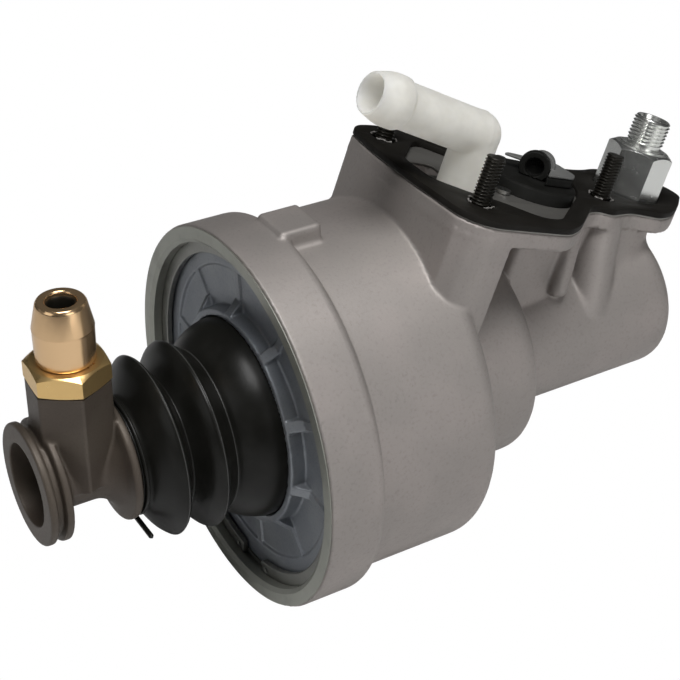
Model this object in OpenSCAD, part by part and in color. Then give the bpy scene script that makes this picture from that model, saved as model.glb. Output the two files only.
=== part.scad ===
// Clutch actuator: an air cylinder with a push rod, a ribbed cover, a rubber
// boot and a sloping mounting flange that carries the control valve.
// +X is the push direction, +Z is the flange side, and the origin is the
// centre of the machined front face.

/* [Housing] */
// Outside diameter of the front rim
rim_d = 150; // [146:1:158]
// Straight length of the rim
rim_len = 19; // [16:1:22]
// Distance from the front face to the back of the drum
drum_len = 75; // [74:0.5:80]
// Length of the second step behind the drum
step_len = 37; // [34:1:42]
// Outside diameter of the second step
step_d = 92; // [90:1:96]
// Length of the rear cylinder
tail_len = 80.5; // [78:0.5:88]
// Outside diameter of the rear cylinder
tail_d = 61.6; // [60:0.2:66]

/* [Flange] */
// Slope of the mounting flange to the main axis
flange_tilt = 20; // [18:0.5:22]
// Height of the flange face over the back of the drum
flange_h = 79; // [77:0.5:81]
// Thickness of the flange lip
lip_t = 7; // [5:0.5:8]
// Thickness of the gasket
gasket_t = 2.5; // [1.5:0.5:3.5]
// Diameter of the mounting studs
stud_d = 8; // [7:0.5:9]
// Stud length above the gasket
stud_out = 18; // [14:1:26]
// Height of the hexagon of the air fitting
hex_h = 18.5; // [16:0.5:22]
// Diameter of the air thread
air_d = 16; // [14:0.5:18]
// Length of the air thread
air_len = 12; // [10:0.5:14]
// Outside diameter of the elbow
elbow_d = 17.6; // [16:0.2:18]
// Reach of the elbow from its bend to its mouth
elbow_reach = 52.5; // [46:0.5:56]

/* [Push rod] */
// Diameter of the push rod
rod_d = 22; // [20:0.5:23]
// Travel of the rod towards the clutch
travel_out = 22; // [16:1:24]
// Free travel of the rod back into the drum
travel_in = 8; // [4:1:9]
// Diameter of the bore in the head ring
head_bore_d = 31; // [26:0.5:34]
// Diameter of the double ring on the head
ring_d = 46; // [42:0.5:48]
// Width of the brass nut across flats
nut_af = 27; // [24:0.5:28]
// Bore of the bronze nose
nose_bore_d = 10.6; // [8:0.2:12]

/* [Hidden] */
$fn = 96;
// Clearances
seat_gap = 0.3;
run_gap = 0.05;
// Walls and bores of the housing
rim_step = 5.1;
drum_r = rim_d / 2 - rim_step;
seat_r = rim_d / 2 - 7;
seat_len = 17;
work_r = rim_d / 2 - 12.5;
drum_wall = 7;
step_wall = 7.5;
tail_wall = 8.3;
step_x = -drum_len - step_len;
tail_x = step_x - tail_len;
step_bore_r = step_d / 2 - step_wall;
tail_bore_r = tail_d / 2 - tail_wall;
work_x = -drum_len + drum_wall;
step_bore_x = step_x + drum_wall;
tail_bore_x = tail_x + tail_wall;
// Snap ring and cover
groove_x = -7.2;
groove_w = 2.7;
groove_r = seat_r + 1.6;
snap_r = seat_r - 4.8;
cover_r = seat_r - seat_gap;
cover_back = -seat_len + seat_gap;
cover_front = groove_x - seat_gap;
pocket_r = cover_r - 9.7;
plate_front = -8.6;
plate_back = plate_front - 3.8;
hub_front = -2.7;
hub_r = 42.2;
hub_in_r = 39.3;
guide_r = 22;
guide_front = plate_front + 0.6;
bush_seat_r = 16.3;
rib_count = 10;
rib_w = 3.6;
rib_top = cover_front - seat_gap;
rib_turn = 7.4;
web_w = 4.6;
web_run = 5;
snap_turn = 12.6;
snap_gap = 13.6;
snap_eye_r = 1.1;
// Flange positions are in the flange plane: u runs forward from above the
// back of the drum, y runs across.
stud_a = [17.5, -32.1];
stud_b = [15.5, 29.7];
stud_c = [-67.9, 5.6];
fitting_at = [-94.5, -7.3];
elbow_at = [8.5, 8];
valve_at = [-34, -1];
bushing_at = [-13.5, 8.5];
port_at = [12, -8.5];
port_w = 12.5;
stud_deep = 14;
air_seat_r = 11;
valve_r = 18.8;
valve_deep = 13;
valve_top = 5.2;
valve_hold_r = valve_r - 3.6;
valve_screw_at = [220, 290];
block_t = 3.2;
tongue_t = 1;
port_rise = 4;
port_turn = 45;
port_r = 6.2;
port_in_r = 3.7;
barrel_r = 5.6;
barrel_side = 2.1;
vent_r = 4;
vent_len = 40;
plunger_at = [-56.5, -6];
plunger_r = 1.9;
plunger_deep = 8;
elbow_seat_deep = 9;
elbow_in_r = 6.6;
mouth_deep = 12;
elbow_rise = 19;
elbow_up = 9;
elbow_turn = -3;
// Rod line at rest
rod_r = rod_d / 2;
rod_end = 46.3;
disc_x = rod_end + seat_gap;
disc_t = 3;
disc_r = 23.8;
neck_r = 12.5;
ring_x = 72.5;
ring_w = 9;
boss_x = 62.3;
boss_half = 14;
boss_flat = 6.5;
boss_top = 39.3;
nut_h = 8.4;
nut_turn = 27;
nut_stub_r = 8.4;
nut_deep = 12;
nose_base_r = 10.65;
nose_stub_r = 6.6;
nose_deep = 10;
nose_len = 13;
nose_cone = 9.6;
pin_r = 8;
pin_len = 10;
piston_back = work_x + travel_in + 2;
piston_len = 14;
piston_r = work_r - 1;
web_back = piston_back + 5;
web_front = piston_back + 11;
stub_r = 9;
stub_end = piston_back - 6;
guide_back = web_front + travel_out + 2.5;
// Boot: outside line from the cup in the cover to the neck on the collar
boot_t = 1.6;
boot_back = plate_front + seat_gap;
boot_end = rod_end - 0.4;
boot_neck_r = 21.6;
boot_line = [[39.0, boot_back], [39.0, -2.2], [38.4, 1.5], [36.6, 6], [33.0, 10.6], [31.0, 13],
    [32.6, 15.8], [35.3, 19.2], [35.4, 20.6], [32.5, 23.2], [26.6, 26.6], [25.6, 28.2],
    [27.5, 30.2], [33.2, 33.2], [33.8, 34.6], [31.5, 37.2], [25.8, 40.6],
    [22.4, 42.2], [boot_neck_r, 43.2], [boot_neck_r, boot_end]];
clip_x = 44.6;
clip_wire = 0.8;
clip_tail_r = 1;
collar_r = boot_neck_r - boot_t - seat_gap;
// Spring and position sensor behind the piston
spring_wire = 2.5;
spring_r = 17;
spring_turns = 9;
spring_seat_t = 3;
spring_cup_r = spring_r + 7;
spring_cup_in_r = spring_r + 4;
sensor_r = 5;
sensor_out_r = 8;
sensor_len = 66;
magnet_r = 3.6;
spring_from = tail_bore_x + spring_seat_t + 0.6;
spring_to = piston_back + 0.7;
carrier_in = 26;
carrier_back = tail_bore_x + carrier_in;

// Corner list with rounded corners: each corner is [u, y, tangent length]
function rounded(c, n = 5) = [
    for (i = [0 : len(c) - 1])
        let (b = [c[i][0], c[i][1]],
             p = c[(i + len(c) - 1) % len(c)],
             q = c[(i + 1) % len(c)],
             a = [p[0], p[1]] - b,
             e = [q[0], q[1]] - b,
             s = b + a / norm(a) * c[i][2],
             f = b + e / norm(e) * c[i][2])
        for (k = [0 : n])
            let (t = k / n)
            s * (1 - t) * (1 - t) + b * 2 * t * (1 - t) + f * t * t
];

// Put a shape drawn along +Z on the main axis, starting at x
module on_axis(x = 0) {
    translate([x, 0, 0])
        rotate([0, 90, 0])
            children();
}

// Put a shape on the flange plane, h above the line over the drum's back
module on_flange(at = [0, 0], h = 0) {
    translate([-drum_len, 0, 0])
        rotate([0, -flange_tilt, 0])
            translate([at[0], at[1], h])
                children();
}

// Half section of a cylinder between two stations, its far end rounded
module round_back(r, from, to, c) {
    translate([0, from + c])
        square([r, to - from - c]);
    translate([0, from])
        square([r - c, c]);
    translate([r - c, from + c])
        circle(r = c);
}

// Ring between two stations on the main axis
module ring(r_out, r_in, from, to) {
    on_axis(from)
        difference() {
            cylinder(r = r_out, h = to - from);
            translate([0, 0, -1])
                cylinder(r = r_in, h = to - from + 2);
        }
}

module flange_outline() {
    polygon(rounded([
        [30.3, -22, 6], [26.8, -40.5, 3], [21.5, -45, 3], [13, -47.4, 4],
        [2.5, -47.2, 5], [-15.5, -32.5, 8], [-72.5, -24, 8], [-86, -26.5, 5], [-98, -31.5, 7],
        [-116, -29.5, 8], [-130.5, -19, 4], [-130.5, -9, 4], [-116, 4.6, 7],
        [-104, 13.5, 5], [-94.5, 17, 3.5], [-80, 14.3, 5], [-64, 19.9, 3],
        [-57.5, 17.3, 2.5], [-50.5, 19.7, 3], [-27, 40.8, 6], [-17, 46.8, 4],
        [20.5, 47.8, 4], [27.5, 43.8, 3], [31.2, 38, 3], [32.2, 8, 8]]));
}

module gasket_window() {
    polygon(rounded([
        [22, -11, 4], [22.5, 8.5, 5], [10.5, 20.3, 4], [2.5, 24.5, 4],
        [-9.5, 37.8, 5], [-19.5, 37.2, 4], [-56.5, 5, 6], [-64, -8, 5],
        [-61.5, -19, 4], [-29.5, -23, 6], [-13.5, -24, 5], [-3.5, -35, 3],
        [2.5, -33, 3]]));
}

module tower_outline() {
    polygon(rounded([
        [29.8, -22, 6], [26.3, -40.2, 3], [21.2, -44.5, 3], [13, -46.9, 4],
        [3, -46.7, 4], [-14, -31, 7], [-54, -22, 5], [-54, 13, 4],
        [-46, 19.5, 4], [1, 21.5, 3], [4.5, 27, 3], [6.5, 41, 3],
        [11, 46.8, 3], [20.2, 47.3, 4], [27, 43.4, 3], [30.7, 37.8, 3],
        [31.7, 8, 8]]));
}

// Body under the tail of the flange, between the stud column and the boss
module tail_outline() {
    polygon(rounded([
        [-40, -16, 3], [-90, -18, 5], [-96, -8, 4], [-90, 4, 4],
        [-78, 7, 4], [-70, 13.5, 3], [-58, 13.5, 3], [-40, 7, 3]]));
}

// Solid outside form of the casting along the main axis
module turned_outside() {
    on_axis()
        rotate_extrude()
            union() {
                round_back(rim_d / 2, -rim_len - 3.6, 0, 3.4);
                round_back(drum_r, -drum_len, -rim_len, 5.2);
                round_back(step_d / 2, step_x, -drum_len + 8, 6.2);
                round_back(tail_d / 2, tail_x, step_x + 8, 6.8);
            }
}

// Bores along the main axis
module turned_inside() {
    on_axis(-seat_len)
        cylinder(r = seat_r, h = seat_len + 1);
    on_axis(groove_x)
        cylinder(r = groove_r, h = groove_w);
    on_axis(-1.2)
        cylinder(r1 = seat_r, r2 = seat_r + 1.6, h = 1.6);
    on_axis(work_x)
        cylinder(r = work_r, h = -work_x - seat_len + 1);
    on_axis(step_bore_x)
        cylinder(r = step_bore_r, h = work_x - step_bore_x + 1);
    on_axis(tail_bore_x)
        cylinder(r = tail_bore_r, h = step_bore_x - tail_bore_x + 1);
}

module tower_solid() {
    on_flange([0, 0], flange_h - lip_t)
        linear_extrude(lip_t)
            flange_outline();
    on_flange([0, 0], flange_h - 64)
        linear_extrude(60)
            tower_outline();
    on_flange([0, 0], flange_h - 44)
        linear_extrude(40)
            tail_outline();
    // Column under the tail stud and the boss under the fitting
    on_flange([stud_c[0] - 1, stud_c[1] + 2.4], flange_h - 44)
        cylinder(r1 = 11.6, r2 = 9.6, h = 41);
    on_flange(fitting_at, flange_h - 38)
        cylinder(r = 14, h = 35);
    // Ribs under the near edge of the lip
    on_flange([-24, 18], flange_h - 30)
        translate([-2, 0, 0])
            cube([4, 18, 28]);
    on_flange([-50, 8], flange_h - 34)
        translate([-2, 0, 0])
            cube([4, 9, 32]);
}

module top_pad() {
    translate([-36, -12, 60])
        cube([36 - rim_len - 0.4, 18.4, 16.8]);
}

module tower_holes() {
    // Stud holes
    for (p = [stud_a, stud_b, stud_c])
        on_flange(p, flange_h - stud_deep)
            cylinder(r = stud_d / 2 + 0.02, h = stud_deep + 1);
    // Air inlet, its seal face and the drilling to the valve
    on_flange(fitting_at, flange_h - 16)
        cylinder(r = air_d / 2 - 1, h = 17);
    on_flange(fitting_at, flange_h - 1.5)
        cylinder(r = air_seat_r + 3, h = 2.5);
    on_flange([fitting_at[0], -4.5], flange_h - 12)
        rotate([0, 90, 0])
            cylinder(r = 3, h = 48);
    // Valve chamber, plunger guide, bushing hole, exhaust port and elbow seat
    on_flange(valve_at, flange_h - valve_deep)
        cylinder(r = valve_r + 0.5, h = valve_deep + 1);
    on_flange(plunger_at, flange_h - plunger_deep)
        cylinder(r = plunger_r + run_gap, h = plunger_deep + 1);
    on_flange(bushing_at, flange_h - 8)
        cylinder(r = 2.2, h = 9);
    on_flange([port_at[0] - port_w / 2, port_at[1] - port_w / 2], flange_h - 15)
        cube([port_w, port_w, 16]);
    on_flange(elbow_at, flange_h - elbow_seat_deep)
        cylinder(r = elbow_d / 2 - 0.8, h = elbow_seat_deep + 1);
    on_flange([elbow_at[0], elbow_at[1] - 3], flange_h - vent_len - 6)
        cylinder(r = vent_r, h = vent_len);
}

module housing() {
    color([0.60, 0.58, 0.57])
        difference() {
            union() {
                turned_outside();
                tower_solid();
                top_pad();
            }
            turned_inside();
            tower_holes();
        }
}

module flange_gasket() {
    color([0.06, 0.06, 0.06])
        on_flange([0, 0], flange_h)
            difference() {
                linear_extrude(gasket_t)
                    difference() {
                        flange_outline();
                        gasket_window();
                    }
                for (p = [stud_a, stud_b, stud_c])
                    translate([p[0], p[1], -1])
                        cylinder(r = stud_d / 2 + 0.6, h = gasket_t + 2);
                translate([fitting_at[0], fitting_at[1], -1])
                    cylinder(r = air_seat_r + 3.4, h = gasket_t + 2);
            }
}

module mounting_studs() {
    color([0.10, 0.10, 0.10])
        for (p = [stud_a, stud_b, stud_c])
            on_flange(p, flange_h - stud_deep + 1)
                union() {
                    cylinder(r = stud_d / 2, h = stud_deep + gasket_t - 1.2);
                    cylinder(r = stud_d / 2 - 0.4, h = stud_deep + gasket_t);
                    translate([0, 0, stud_deep + gasket_t - 0.4])
                        cylinder(r = stud_d / 2, h = stud_out - 1.6);
                    translate([0, 0, stud_deep + gasket_t + stud_out - 2])
                        cylinder(r1 = stud_d / 2, r2 = stud_d / 2 - 1, h = 1);
                }
}

// The elbow's outlet axis is elbow_rise over the gasket and slopes up by
// elbow_up to the flange plane
module elbow_outside(leg) {
    cylinder(r = elbow_d / 2 - 0.2, h = leg);
    translate([0, 0, leg])
        sphere(r = elbow_d / 2 + 0.2);
    translate([0, 0, leg])
        rotate([0, 90 - elbow_up, elbow_turn])
            rotate_extrude()
                polygon([[0, 0], [elbow_d / 2, 0], [elbow_d / 2, elbow_reach - 11],
                    [elbow_d / 2 + 1.4, elbow_reach - 8], [elbow_d / 2 + 1.4, elbow_reach - 5],
                    [elbow_d / 2 - 0.6, elbow_reach], [0, elbow_reach]]);
}

module exhaust_elbow() {
    leg = elbow_rise + gasket_t - seat_gap;
    color([0.86, 0.86, 0.84])
        on_flange(elbow_at, flange_h + seat_gap)
            difference() {
                union() {
                    translate([0, 0, -elbow_seat_deep + 1])
                        cylinder(r = elbow_d / 2 - 1.1, h = elbow_seat_deep);
                    elbow_outside(leg);
                }
                translate([0, 0, -elbow_seat_deep])
                    cylinder(r = elbow_in_r - 1, h = leg + elbow_seat_deep + 1);
                translate([0, 0, leg])
                    rotate([0, 90 - elbow_up, elbow_turn])
                        union() {
                            translate([0, 0, -2.5])
                                cylinder(r = elbow_in_r - 0.6, h = elbow_reach + 4);
                            translate([0, 0, elbow_reach - mouth_deep])
                                cylinder(r = elbow_in_r + 0.2, h = mouth_deep + 1);
                        }
            }
}

module elbow_seal() {
    color([0.05, 0.05, 0.05])
        on_flange(elbow_at, flange_h - elbow_seat_deep + 0.15)
            difference() {
                cylinder(r = elbow_d / 2 - 1.2, h = 0.8);
                translate([0, 0, -1])
                    cylinder(r = elbow_in_r - 0.6, h = 3);
            }
}

module air_fitting() {
    color([0.78, 0.79, 0.80])
        on_flange(fitting_at, flange_h - 1.5 + 1.2)
            difference() {
                union() {
                    translate([0, 0, -14])
                        cylinder(r = air_d / 2 - 1.3, h = 15);
                    cylinder(r = air_seat_r, h = 1.5);
                    translate([0, 0, 1])
                        rotate([0, 0, 10])
                            cylinder(r = 12 / cos(30), h = hex_h + gasket_t, $fn = 6);
                    translate([0, 0, hex_h + gasket_t])
                        cylinder(r = air_d / 2 - 1.2, h = 3);
                    translate([0, 0, hex_h + gasket_t + 2.2])
                        cylinder(r = air_d / 2, h = air_len - 1.5);
                    translate([0, 0, hex_h + gasket_t + air_len + 0.7])
                        cylinder(r1 = air_d / 2, r2 = air_d / 2 - 1.2, h = 1.2);
                }
                translate([0, 0, -15])
                    cylinder(r = 4, h = 60);
                translate([0, 0, hex_h + gasket_t + 7])
                    cylinder(r1 = 4, r2 = 6, h = air_len - 5);
            }
}

module fitting_seal() {
    color([0.62, 0.40, 0.24])
        on_flange(fitting_at, flange_h - 1.5)
            difference() {
                cylinder(r = air_seat_r + 1.2, h = 1.2);
                translate([0, 0, -1])
                    cylinder(r = air_d / 2 - 0.9, h = 3);
            }
}

module valve_cap() {
    color([0.08, 0.08, 0.09])
        on_flange(valve_at, flange_h - valve_deep + 2)
            difference() {
                union() {
                    cylinder(r = valve_r, h = valve_deep + valve_top - 2.8);
                    translate([0, 0, valve_deep + valve_top - 2.8])
                        cylinder(r1 = valve_r, r2 = valve_r - 0.8, h = 0.8);
                }
                translate([0, 0, -1])
                    cylinder(r = valve_r - 4, h = 7);
                for (a = valve_screw_at)
                    rotate([0, 0, a])
                        translate([valve_hold_r, 0, 4])
                            cylinder(r = 1.3, h = valve_deep + valve_top);
            }
}

// Put a shape drawn along +Z on the port's axis, side to the right of it
module on_port(from, side = 0) {
    rotate([0, 0, port_turn])
        translate([from, side, port_rise])
            rotate([0, 90, 0])
                children();
}

// Everything over the top of the cap
module over_cap(low = 0) {
    translate([-30, -30, low])
        cube([60, 60, 30]);
}

// Block on the cap with the round port, which faces the near front corner
module valve_block() {
    color([0.05, 0.05, 0.06])
        on_flange(valve_at, flange_h + valve_top + seat_gap)
            difference() {
                union() {
                    linear_extrude(block_t)
                        polygon(rounded([[-16, -5, 2], [-4, -8, 2], [3.5, -2.5, 1],
                            [-3.6, 4.6, 0.5], [2.4, 11, 1], [-12, 11, 2], [-16, 7, 2]]));
                    intersection() {
                        on_port(-1)
                            cylinder(r = port_r, h = 4.5);
                        over_cap();
                    }
                }
                on_port(-2)
                    cylinder(r = port_in_r, h = 8);
            }
}

// Grey insert on the block: a tongue and a round body behind the port
module valve_barrel() {
    color([0.55, 0.56, 0.57])
        on_flange(valve_at, flange_h + valve_top + seat_gap)
            union() {
                translate([0, 0, block_t + seat_gap])
                    linear_extrude(tongue_t)
                        polygon(rounded([[-15.8, -4.8, 2], [-8, -7.5, 1], [5, -11.5, 1],
                            [8.2, -10.2, 1], [-0.5, -2, 0.5], [-5.6, 3.4, 0.5],
                            [1.9, 10.8, 1], [-12, 10.8, 2], [-15.8, 6.9, 2]]));
                intersection() {
                    on_port(-7.5, barrel_side)
                        cylinder(r = barrel_r, h = 6.1);
                    over_cap(block_t + seat_gap);
                }
            }
}

module valve_plunger() {
    color([0.70, 0.71, 0.72])
        on_flange(plunger_at, flange_h - plunger_deep + 2)
            union() {
                cylinder(r = plunger_r, h = plunger_deep + 2);
                translate([-2.6, -2.6, plunger_deep + 0.4])
                    cube([5.2, 5.2, 3.6]);
            }
}

module valve_screws() {
    color([0.55, 0.55, 0.55])
        for (a = valve_screw_at)
            on_flange(valve_at, flange_h - valve_deep + 7.2)
                rotate([0, 0, a])
                    translate([valve_hold_r, 0, 0])
                        union() {
                            cylinder(r = 1.1, h = valve_deep + valve_top - 6.6);
                            translate([0, 0, valve_deep + valve_top - 7])
                                cylinder(r = 2, h = 1.4);
                        }
}

module valve_seal() {
    color([0.04, 0.04, 0.04])
        on_flange(valve_at, flange_h - valve_deep + 0.9)
            rotate_extrude()
                translate([valve_r - 2, 0])
                    circle(r = 0.75);
}

module chamber_bushing() {
    color([0.50, 0.50, 0.50])
        on_flange(bushing_at, flange_h - 7)
            difference() {
                union() {
                    cylinder(r = 1.9, h = 8);
                    translate([0, 0, 7.3])
                        cylinder(r = 2.9, h = 1.4);
                }
                translate([0, 0, -1])
                    cylinder(r = 1.1, h = 12);
            }
}

// Low rib across the cover's pocket and the web that slopes up to the hub
module cover_rib() {
    translate([hub_r - 1.5, -rib_w / 2, plate_front - 1])
        cube([pocket_r + 2 - hub_r, rib_w, rib_top - plate_front + 1]);
    translate([0, web_w / 2, 0])
        rotate([90, 0, 0])
            linear_extrude(web_w)
                polygon([[hub_r - 1.5, plate_front - 1], [hub_r + web_run, plate_front - 1],
                    [hub_r + web_run, rib_top], [hub_r + 0.1, hub_front - 0.2],
                    [hub_r - 1.5, hub_front - 0.2]]);
}

module front_cover() {
    color([0.42, 0.45, 0.50])
        difference() {
            union() {
                ring(cover_r, pocket_r, cover_back, cover_front);
                ring(pocket_r + 0.5, bush_seat_r, cover_back, plate_front);
                ring(hub_r, hub_in_r, plate_front - 1, hub_front);
                ring(guide_r, bush_seat_r, guide_back, guide_front);
                for (i = [0 : rib_count - 1])
                    on_axis()
                        rotate([0, 0, rib_turn + i * 360 / rib_count])
                            cover_rib();
            }
            // Groove for the O-ring
            difference() {
                on_axis(-14.2)
                    cylinder(r = cover_r + 1, h = 3.6);
                on_axis(-15.2)
                    cylinder(r = cover_r - 2.8, h = 5.6);
            }
            // Pocket in the back
            difference() {
                on_axis(cover_back - 1)
                    cylinder(r = pocket_r - 2, h = plate_back - cover_back + 1);
                on_axis(cover_back - 2)
                    cylinder(r = guide_r + 3, h = plate_back - cover_back + 3);
            }
        }
}

module cover_o_ring() {
    color([0.04, 0.04, 0.04])
        on_axis(-12.4)
            rotate_extrude()
                translate([cover_r - 1.25, 0])
                    circle(r = 1.2);
}

module snap_ring() {
    color([0.45, 0.46, 0.45])
        on_axis(groove_x + 0.2)
            difference() {
                rotate([0, 0, snap_turn])
                    rotate_extrude(angle = 360 - snap_gap)
                        translate([snap_r, 0])
                            square([groove_r - 0.4 - snap_r, groove_w - 0.4]);
                // Eyes for the pliers
                for (a = [snap_turn + 3, snap_turn - snap_gap - 3])
                    rotate([0, 0, a])
                        translate([(snap_r + groove_r - 0.4) / 2, 0, -1])
                            cylinder(r = snap_eye_r, h = groove_w + 2);
            }
}

module guide_bush() {
    color([0.60, 0.44, 0.25])
        ring(bush_seat_r - seat_gap, rod_r + run_gap, guide_back, -9.5);
}

module rod_wiper() {
    color([0.05, 0.05, 0.05])
        on_axis(-9.1)
            rotate_extrude()
                polygon([[rod_r + 0.4, 0], [bush_seat_r - seat_gap, 0],
                    [bush_seat_r - seat_gap, 2], [rod_r + 2.6, 2], [rod_r + 0.4, 4]]);
}

// A line moved inwards by t, in reverse order
function inner_line(p, t) = [for (i = [len(p) - 1 : -1 : 0])
    let (a = p[max(i - 1, 0)], b = p[min(i + 1, len(p) - 1)], d = (b - a) / norm(b - a))
    [p[i][0] - d[1] * t, p[i][1] + d[0] * t]];

module boot() {
    color([0.05, 0.05, 0.05])
        on_axis()
            rotate_extrude()
                polygon(concat(boot_line, inner_line(boot_line, boot_t)));
}

module boot_clip() {
    color([0.08, 0.08, 0.08])
        union() {
            on_axis(clip_x)
                rotate_extrude()
                    translate([boot_neck_r + clip_wire + 0.1, 0])
                        circle(r = clip_wire, $fn = 24);
            // Free end of the wire
            translate([clip_x, -1, -boot_neck_r - clip_tail_r - 0.15])
                rotate([-90, 0, 0])
                    cylinder(r = clip_tail_r, h = 24.3);
        }
}

module boot_collar() {
    color([0.30, 0.30, 0.31])
        ring(collar_r, rod_r + seat_gap, rod_end - 4, rod_end);
}

module push_rod() {
    color([0.70, 0.71, 0.72])
        union() {
            on_axis(web_front + seat_gap)
                cylinder(r = rod_r, h = rod_end - web_front - seat_gap);
            on_axis(stub_end)
                cylinder(r = stub_r, h = web_front + 2 - stub_end);
            on_axis(rod_end - 1)
                cylinder(r = pin_r, h = pin_len + 1);
        }
}

module piston() {
    color([0.72, 0.72, 0.70])
        difference() {
            union() {
                ring(piston_r, 48, piston_back, piston_back + piston_len);
                ring(50, stub_r + seat_gap, web_back, web_front);
                ring(27, stub_r + seat_gap, web_back - 1, web_front);
            }
            difference() {
                on_axis(piston_back + 8.5)
                    cylinder(r = piston_r + 1, h = 4);
                on_axis(piston_back + 7.5)
                    cylinder(r = piston_r - 2.6, h = 6);
            }
            difference() {
                on_axis(piston_back + 1.6)
                    cylinder(r = piston_r + 1, h = 4.6);
                on_axis(piston_back + 0.6)
                    cylinder(r = piston_r - 4, h = 6.6);
            }
        }
}

module piston_seal() {
    color([0.05, 0.05, 0.05])
        on_axis(piston_back + 1.9)
            rotate_extrude()
                polygon([[piston_r - 3.7, 0], [work_r - 0.35, 0], [work_r - 0.35, 1],
                    [piston_r - 1.2, 2], [piston_r - 1.2, 4], [piston_r - 3.7, 4]]);
}

module guide_ring() {
    color([0.35, 0.30, 0.26])
        ring(work_r - run_gap, piston_r - 2.3, piston_back + 8.8, piston_back + 12.2);
}

module piston_nut() {
    color([0.62, 0.62, 0.60])
        on_axis(piston_back - 4.5)
            difference() {
                cylinder(r = 13, h = 5.2, $fn = 6);
                translate([0, 0, -1])
                    cylinder(r = stub_r + 0.02, h = 8);
            }
}

module front_spring_seat() {
    color([0.50, 0.50, 0.48])
        union() {
            ring(spring_cup_r, stub_r + seat_gap, piston_back + 1, web_back - 1.3);
            ring(spring_cup_r, spring_cup_in_r, piston_back - 2, piston_back + 1.5);
        }
}

module preload_spring() {
    steps = 14;
    sides = 6;
    n = spring_turns * steps;
    rise = (spring_to - spring_from - spring_wire) / n;
    pts = [for (i = [0 : n]) for (j = [0 : sides - 1])
        let (a = i * 360 / steps, b = j * 360 / sides, r = spring_r + cos(b) * spring_wire / 2)
        [r * cos(a), r * sin(a), spring_wire / 2 + i * rise + sin(b) * spring_wire / 2]];
    skin = [for (i = [0 : n - 1]) for (j = [0 : sides - 1])
        let (k = (j + 1) % sides)
        [i * sides + j, i * sides + k, (i + 1) * sides + k, (i + 1) * sides + j]];
    first = [for (j = [sides - 1 : -1 : 0]) j];
    last = [for (j = [0 : sides - 1]) n * sides + j];
    color([0.45, 0.46, 0.48])
        on_axis(spring_from)
            polyhedron(points = pts, faces = concat(skin, [first], [last]), convexity = 8);
}

module rear_spring_seat() {
    color([0.50, 0.50, 0.48])
        ring(tail_bore_r - seat_gap, sensor_out_r + seat_gap, tail_bore_x + seat_gap,
            tail_bore_x + spring_seat_t);
}

module sensor_tube() {
    color([0.20, 0.21, 0.22])
        union() {
            ring(sensor_out_r, sensor_r, tail_bore_x + seat_gap, tail_bore_x + sensor_len);
            ring(sensor_out_r, 1, tail_bore_x + seat_gap, tail_bore_x + 2.5);
        }
}

module sensor_carrier() {
    color([0.85, 0.85, 0.80])
        difference() {
            union() {
                on_axis(carrier_back)
                    cylinder(r = sensor_r - run_gap, h = 16);
                on_axis(carrier_back + 10)
                    cylinder(r = 3, h = stub_end - seat_gap - carrier_back - 10);
            }
            on_axis(carrier_back + 2)
                cylinder(r = magnet_r + seat_gap, h = 7);
        }
}

module sensor_magnet() {
    color([0.35, 0.35, 0.37])
        on_axis(carrier_back + 2 + seat_gap)
            cylinder(r = magnet_r, h = 7 - 2 * seat_gap);
}

// Double ring at the front of the head, with the groove between its rings
module head_ring() {
    difference() {
        ring(ring_d / 2, head_bore_d / 2, ring_x, ring_x + ring_w);
        difference() {
            on_axis(ring_x + 2.8)
                cylinder(r = ring_d / 2 + 1, h = ring_w - 5.6);
            on_axis(ring_x + 2)
                cylinder(r = ring_d / 2 - 3.4, h = ring_w - 4);
        }
    }
}

module head_outside() {
    on_axis(disc_x)
        cylinder(r = disc_r, h = disc_t);
    on_axis(disc_x + disc_t)
        cylinder(r1 = 19, r2 = neck_r, h = 5);
    on_axis(disc_x)
        cylinder(r = neck_r, h = ring_x - disc_x + 1);
    on_axis(ring_x - 2)
        cylinder(r1 = neck_r, r2 = ring_d / 2 - 5, h = 3);
    // Eight-sided boss under the nut
    translate([boss_x, 0, 0])
        linear_extrude(boss_top)
            polygon([[boss_half, -boss_flat], [boss_half, boss_flat],
                [boss_flat, boss_half], [-boss_flat, boss_half],
                [-boss_half, boss_flat], [-boss_half, -boss_flat],
                [-boss_flat, -boss_half], [boss_flat, -boss_half]]);
}

module rod_head() {
    color([0.27, 0.24, 0.22])
        union() {
            head_ring();
            difference() {
                head_outside();
                // Seat on the rod pin
                on_axis(disc_x - 1)
                    cylinder(r = pin_r + run_gap, h = pin_len + 2);
                // Bore of the double ring, with a floor behind it
                on_axis(ring_x + 0.5)
                    cylinder(r = head_bore_d / 2, h = ring_w + 1);
                // Seat for the brass nut
                translate([boss_x, 0, boss_top - nut_deep - 1])
                    cylinder(r = nut_stub_r + seat_gap, h = nut_deep + 2);
                translate([boss_x, 0, boss_top - nut_deep - 11])
                    cylinder(r = 4, h = 12);
            }
        }
}

module brass_nut() {
    color([0.80, 0.62, 0.28])
        translate([boss_x, 0, boss_top])
            difference() {
                union() {
                    rotate([0, 0, nut_turn])
                        cylinder(r = nut_af / 2 / cos(30), h = nut_h, $fn = 6);
                    translate([0, 0, -nut_deep])
                        cylinder(r = nut_stub_r, h = nut_deep + 1);
                }
                translate([0, 0, -nut_deep - 1])
                    cylinder(r = nose_stub_r + seat_gap, h = nut_deep + nut_h + 2);
            }
}

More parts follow.
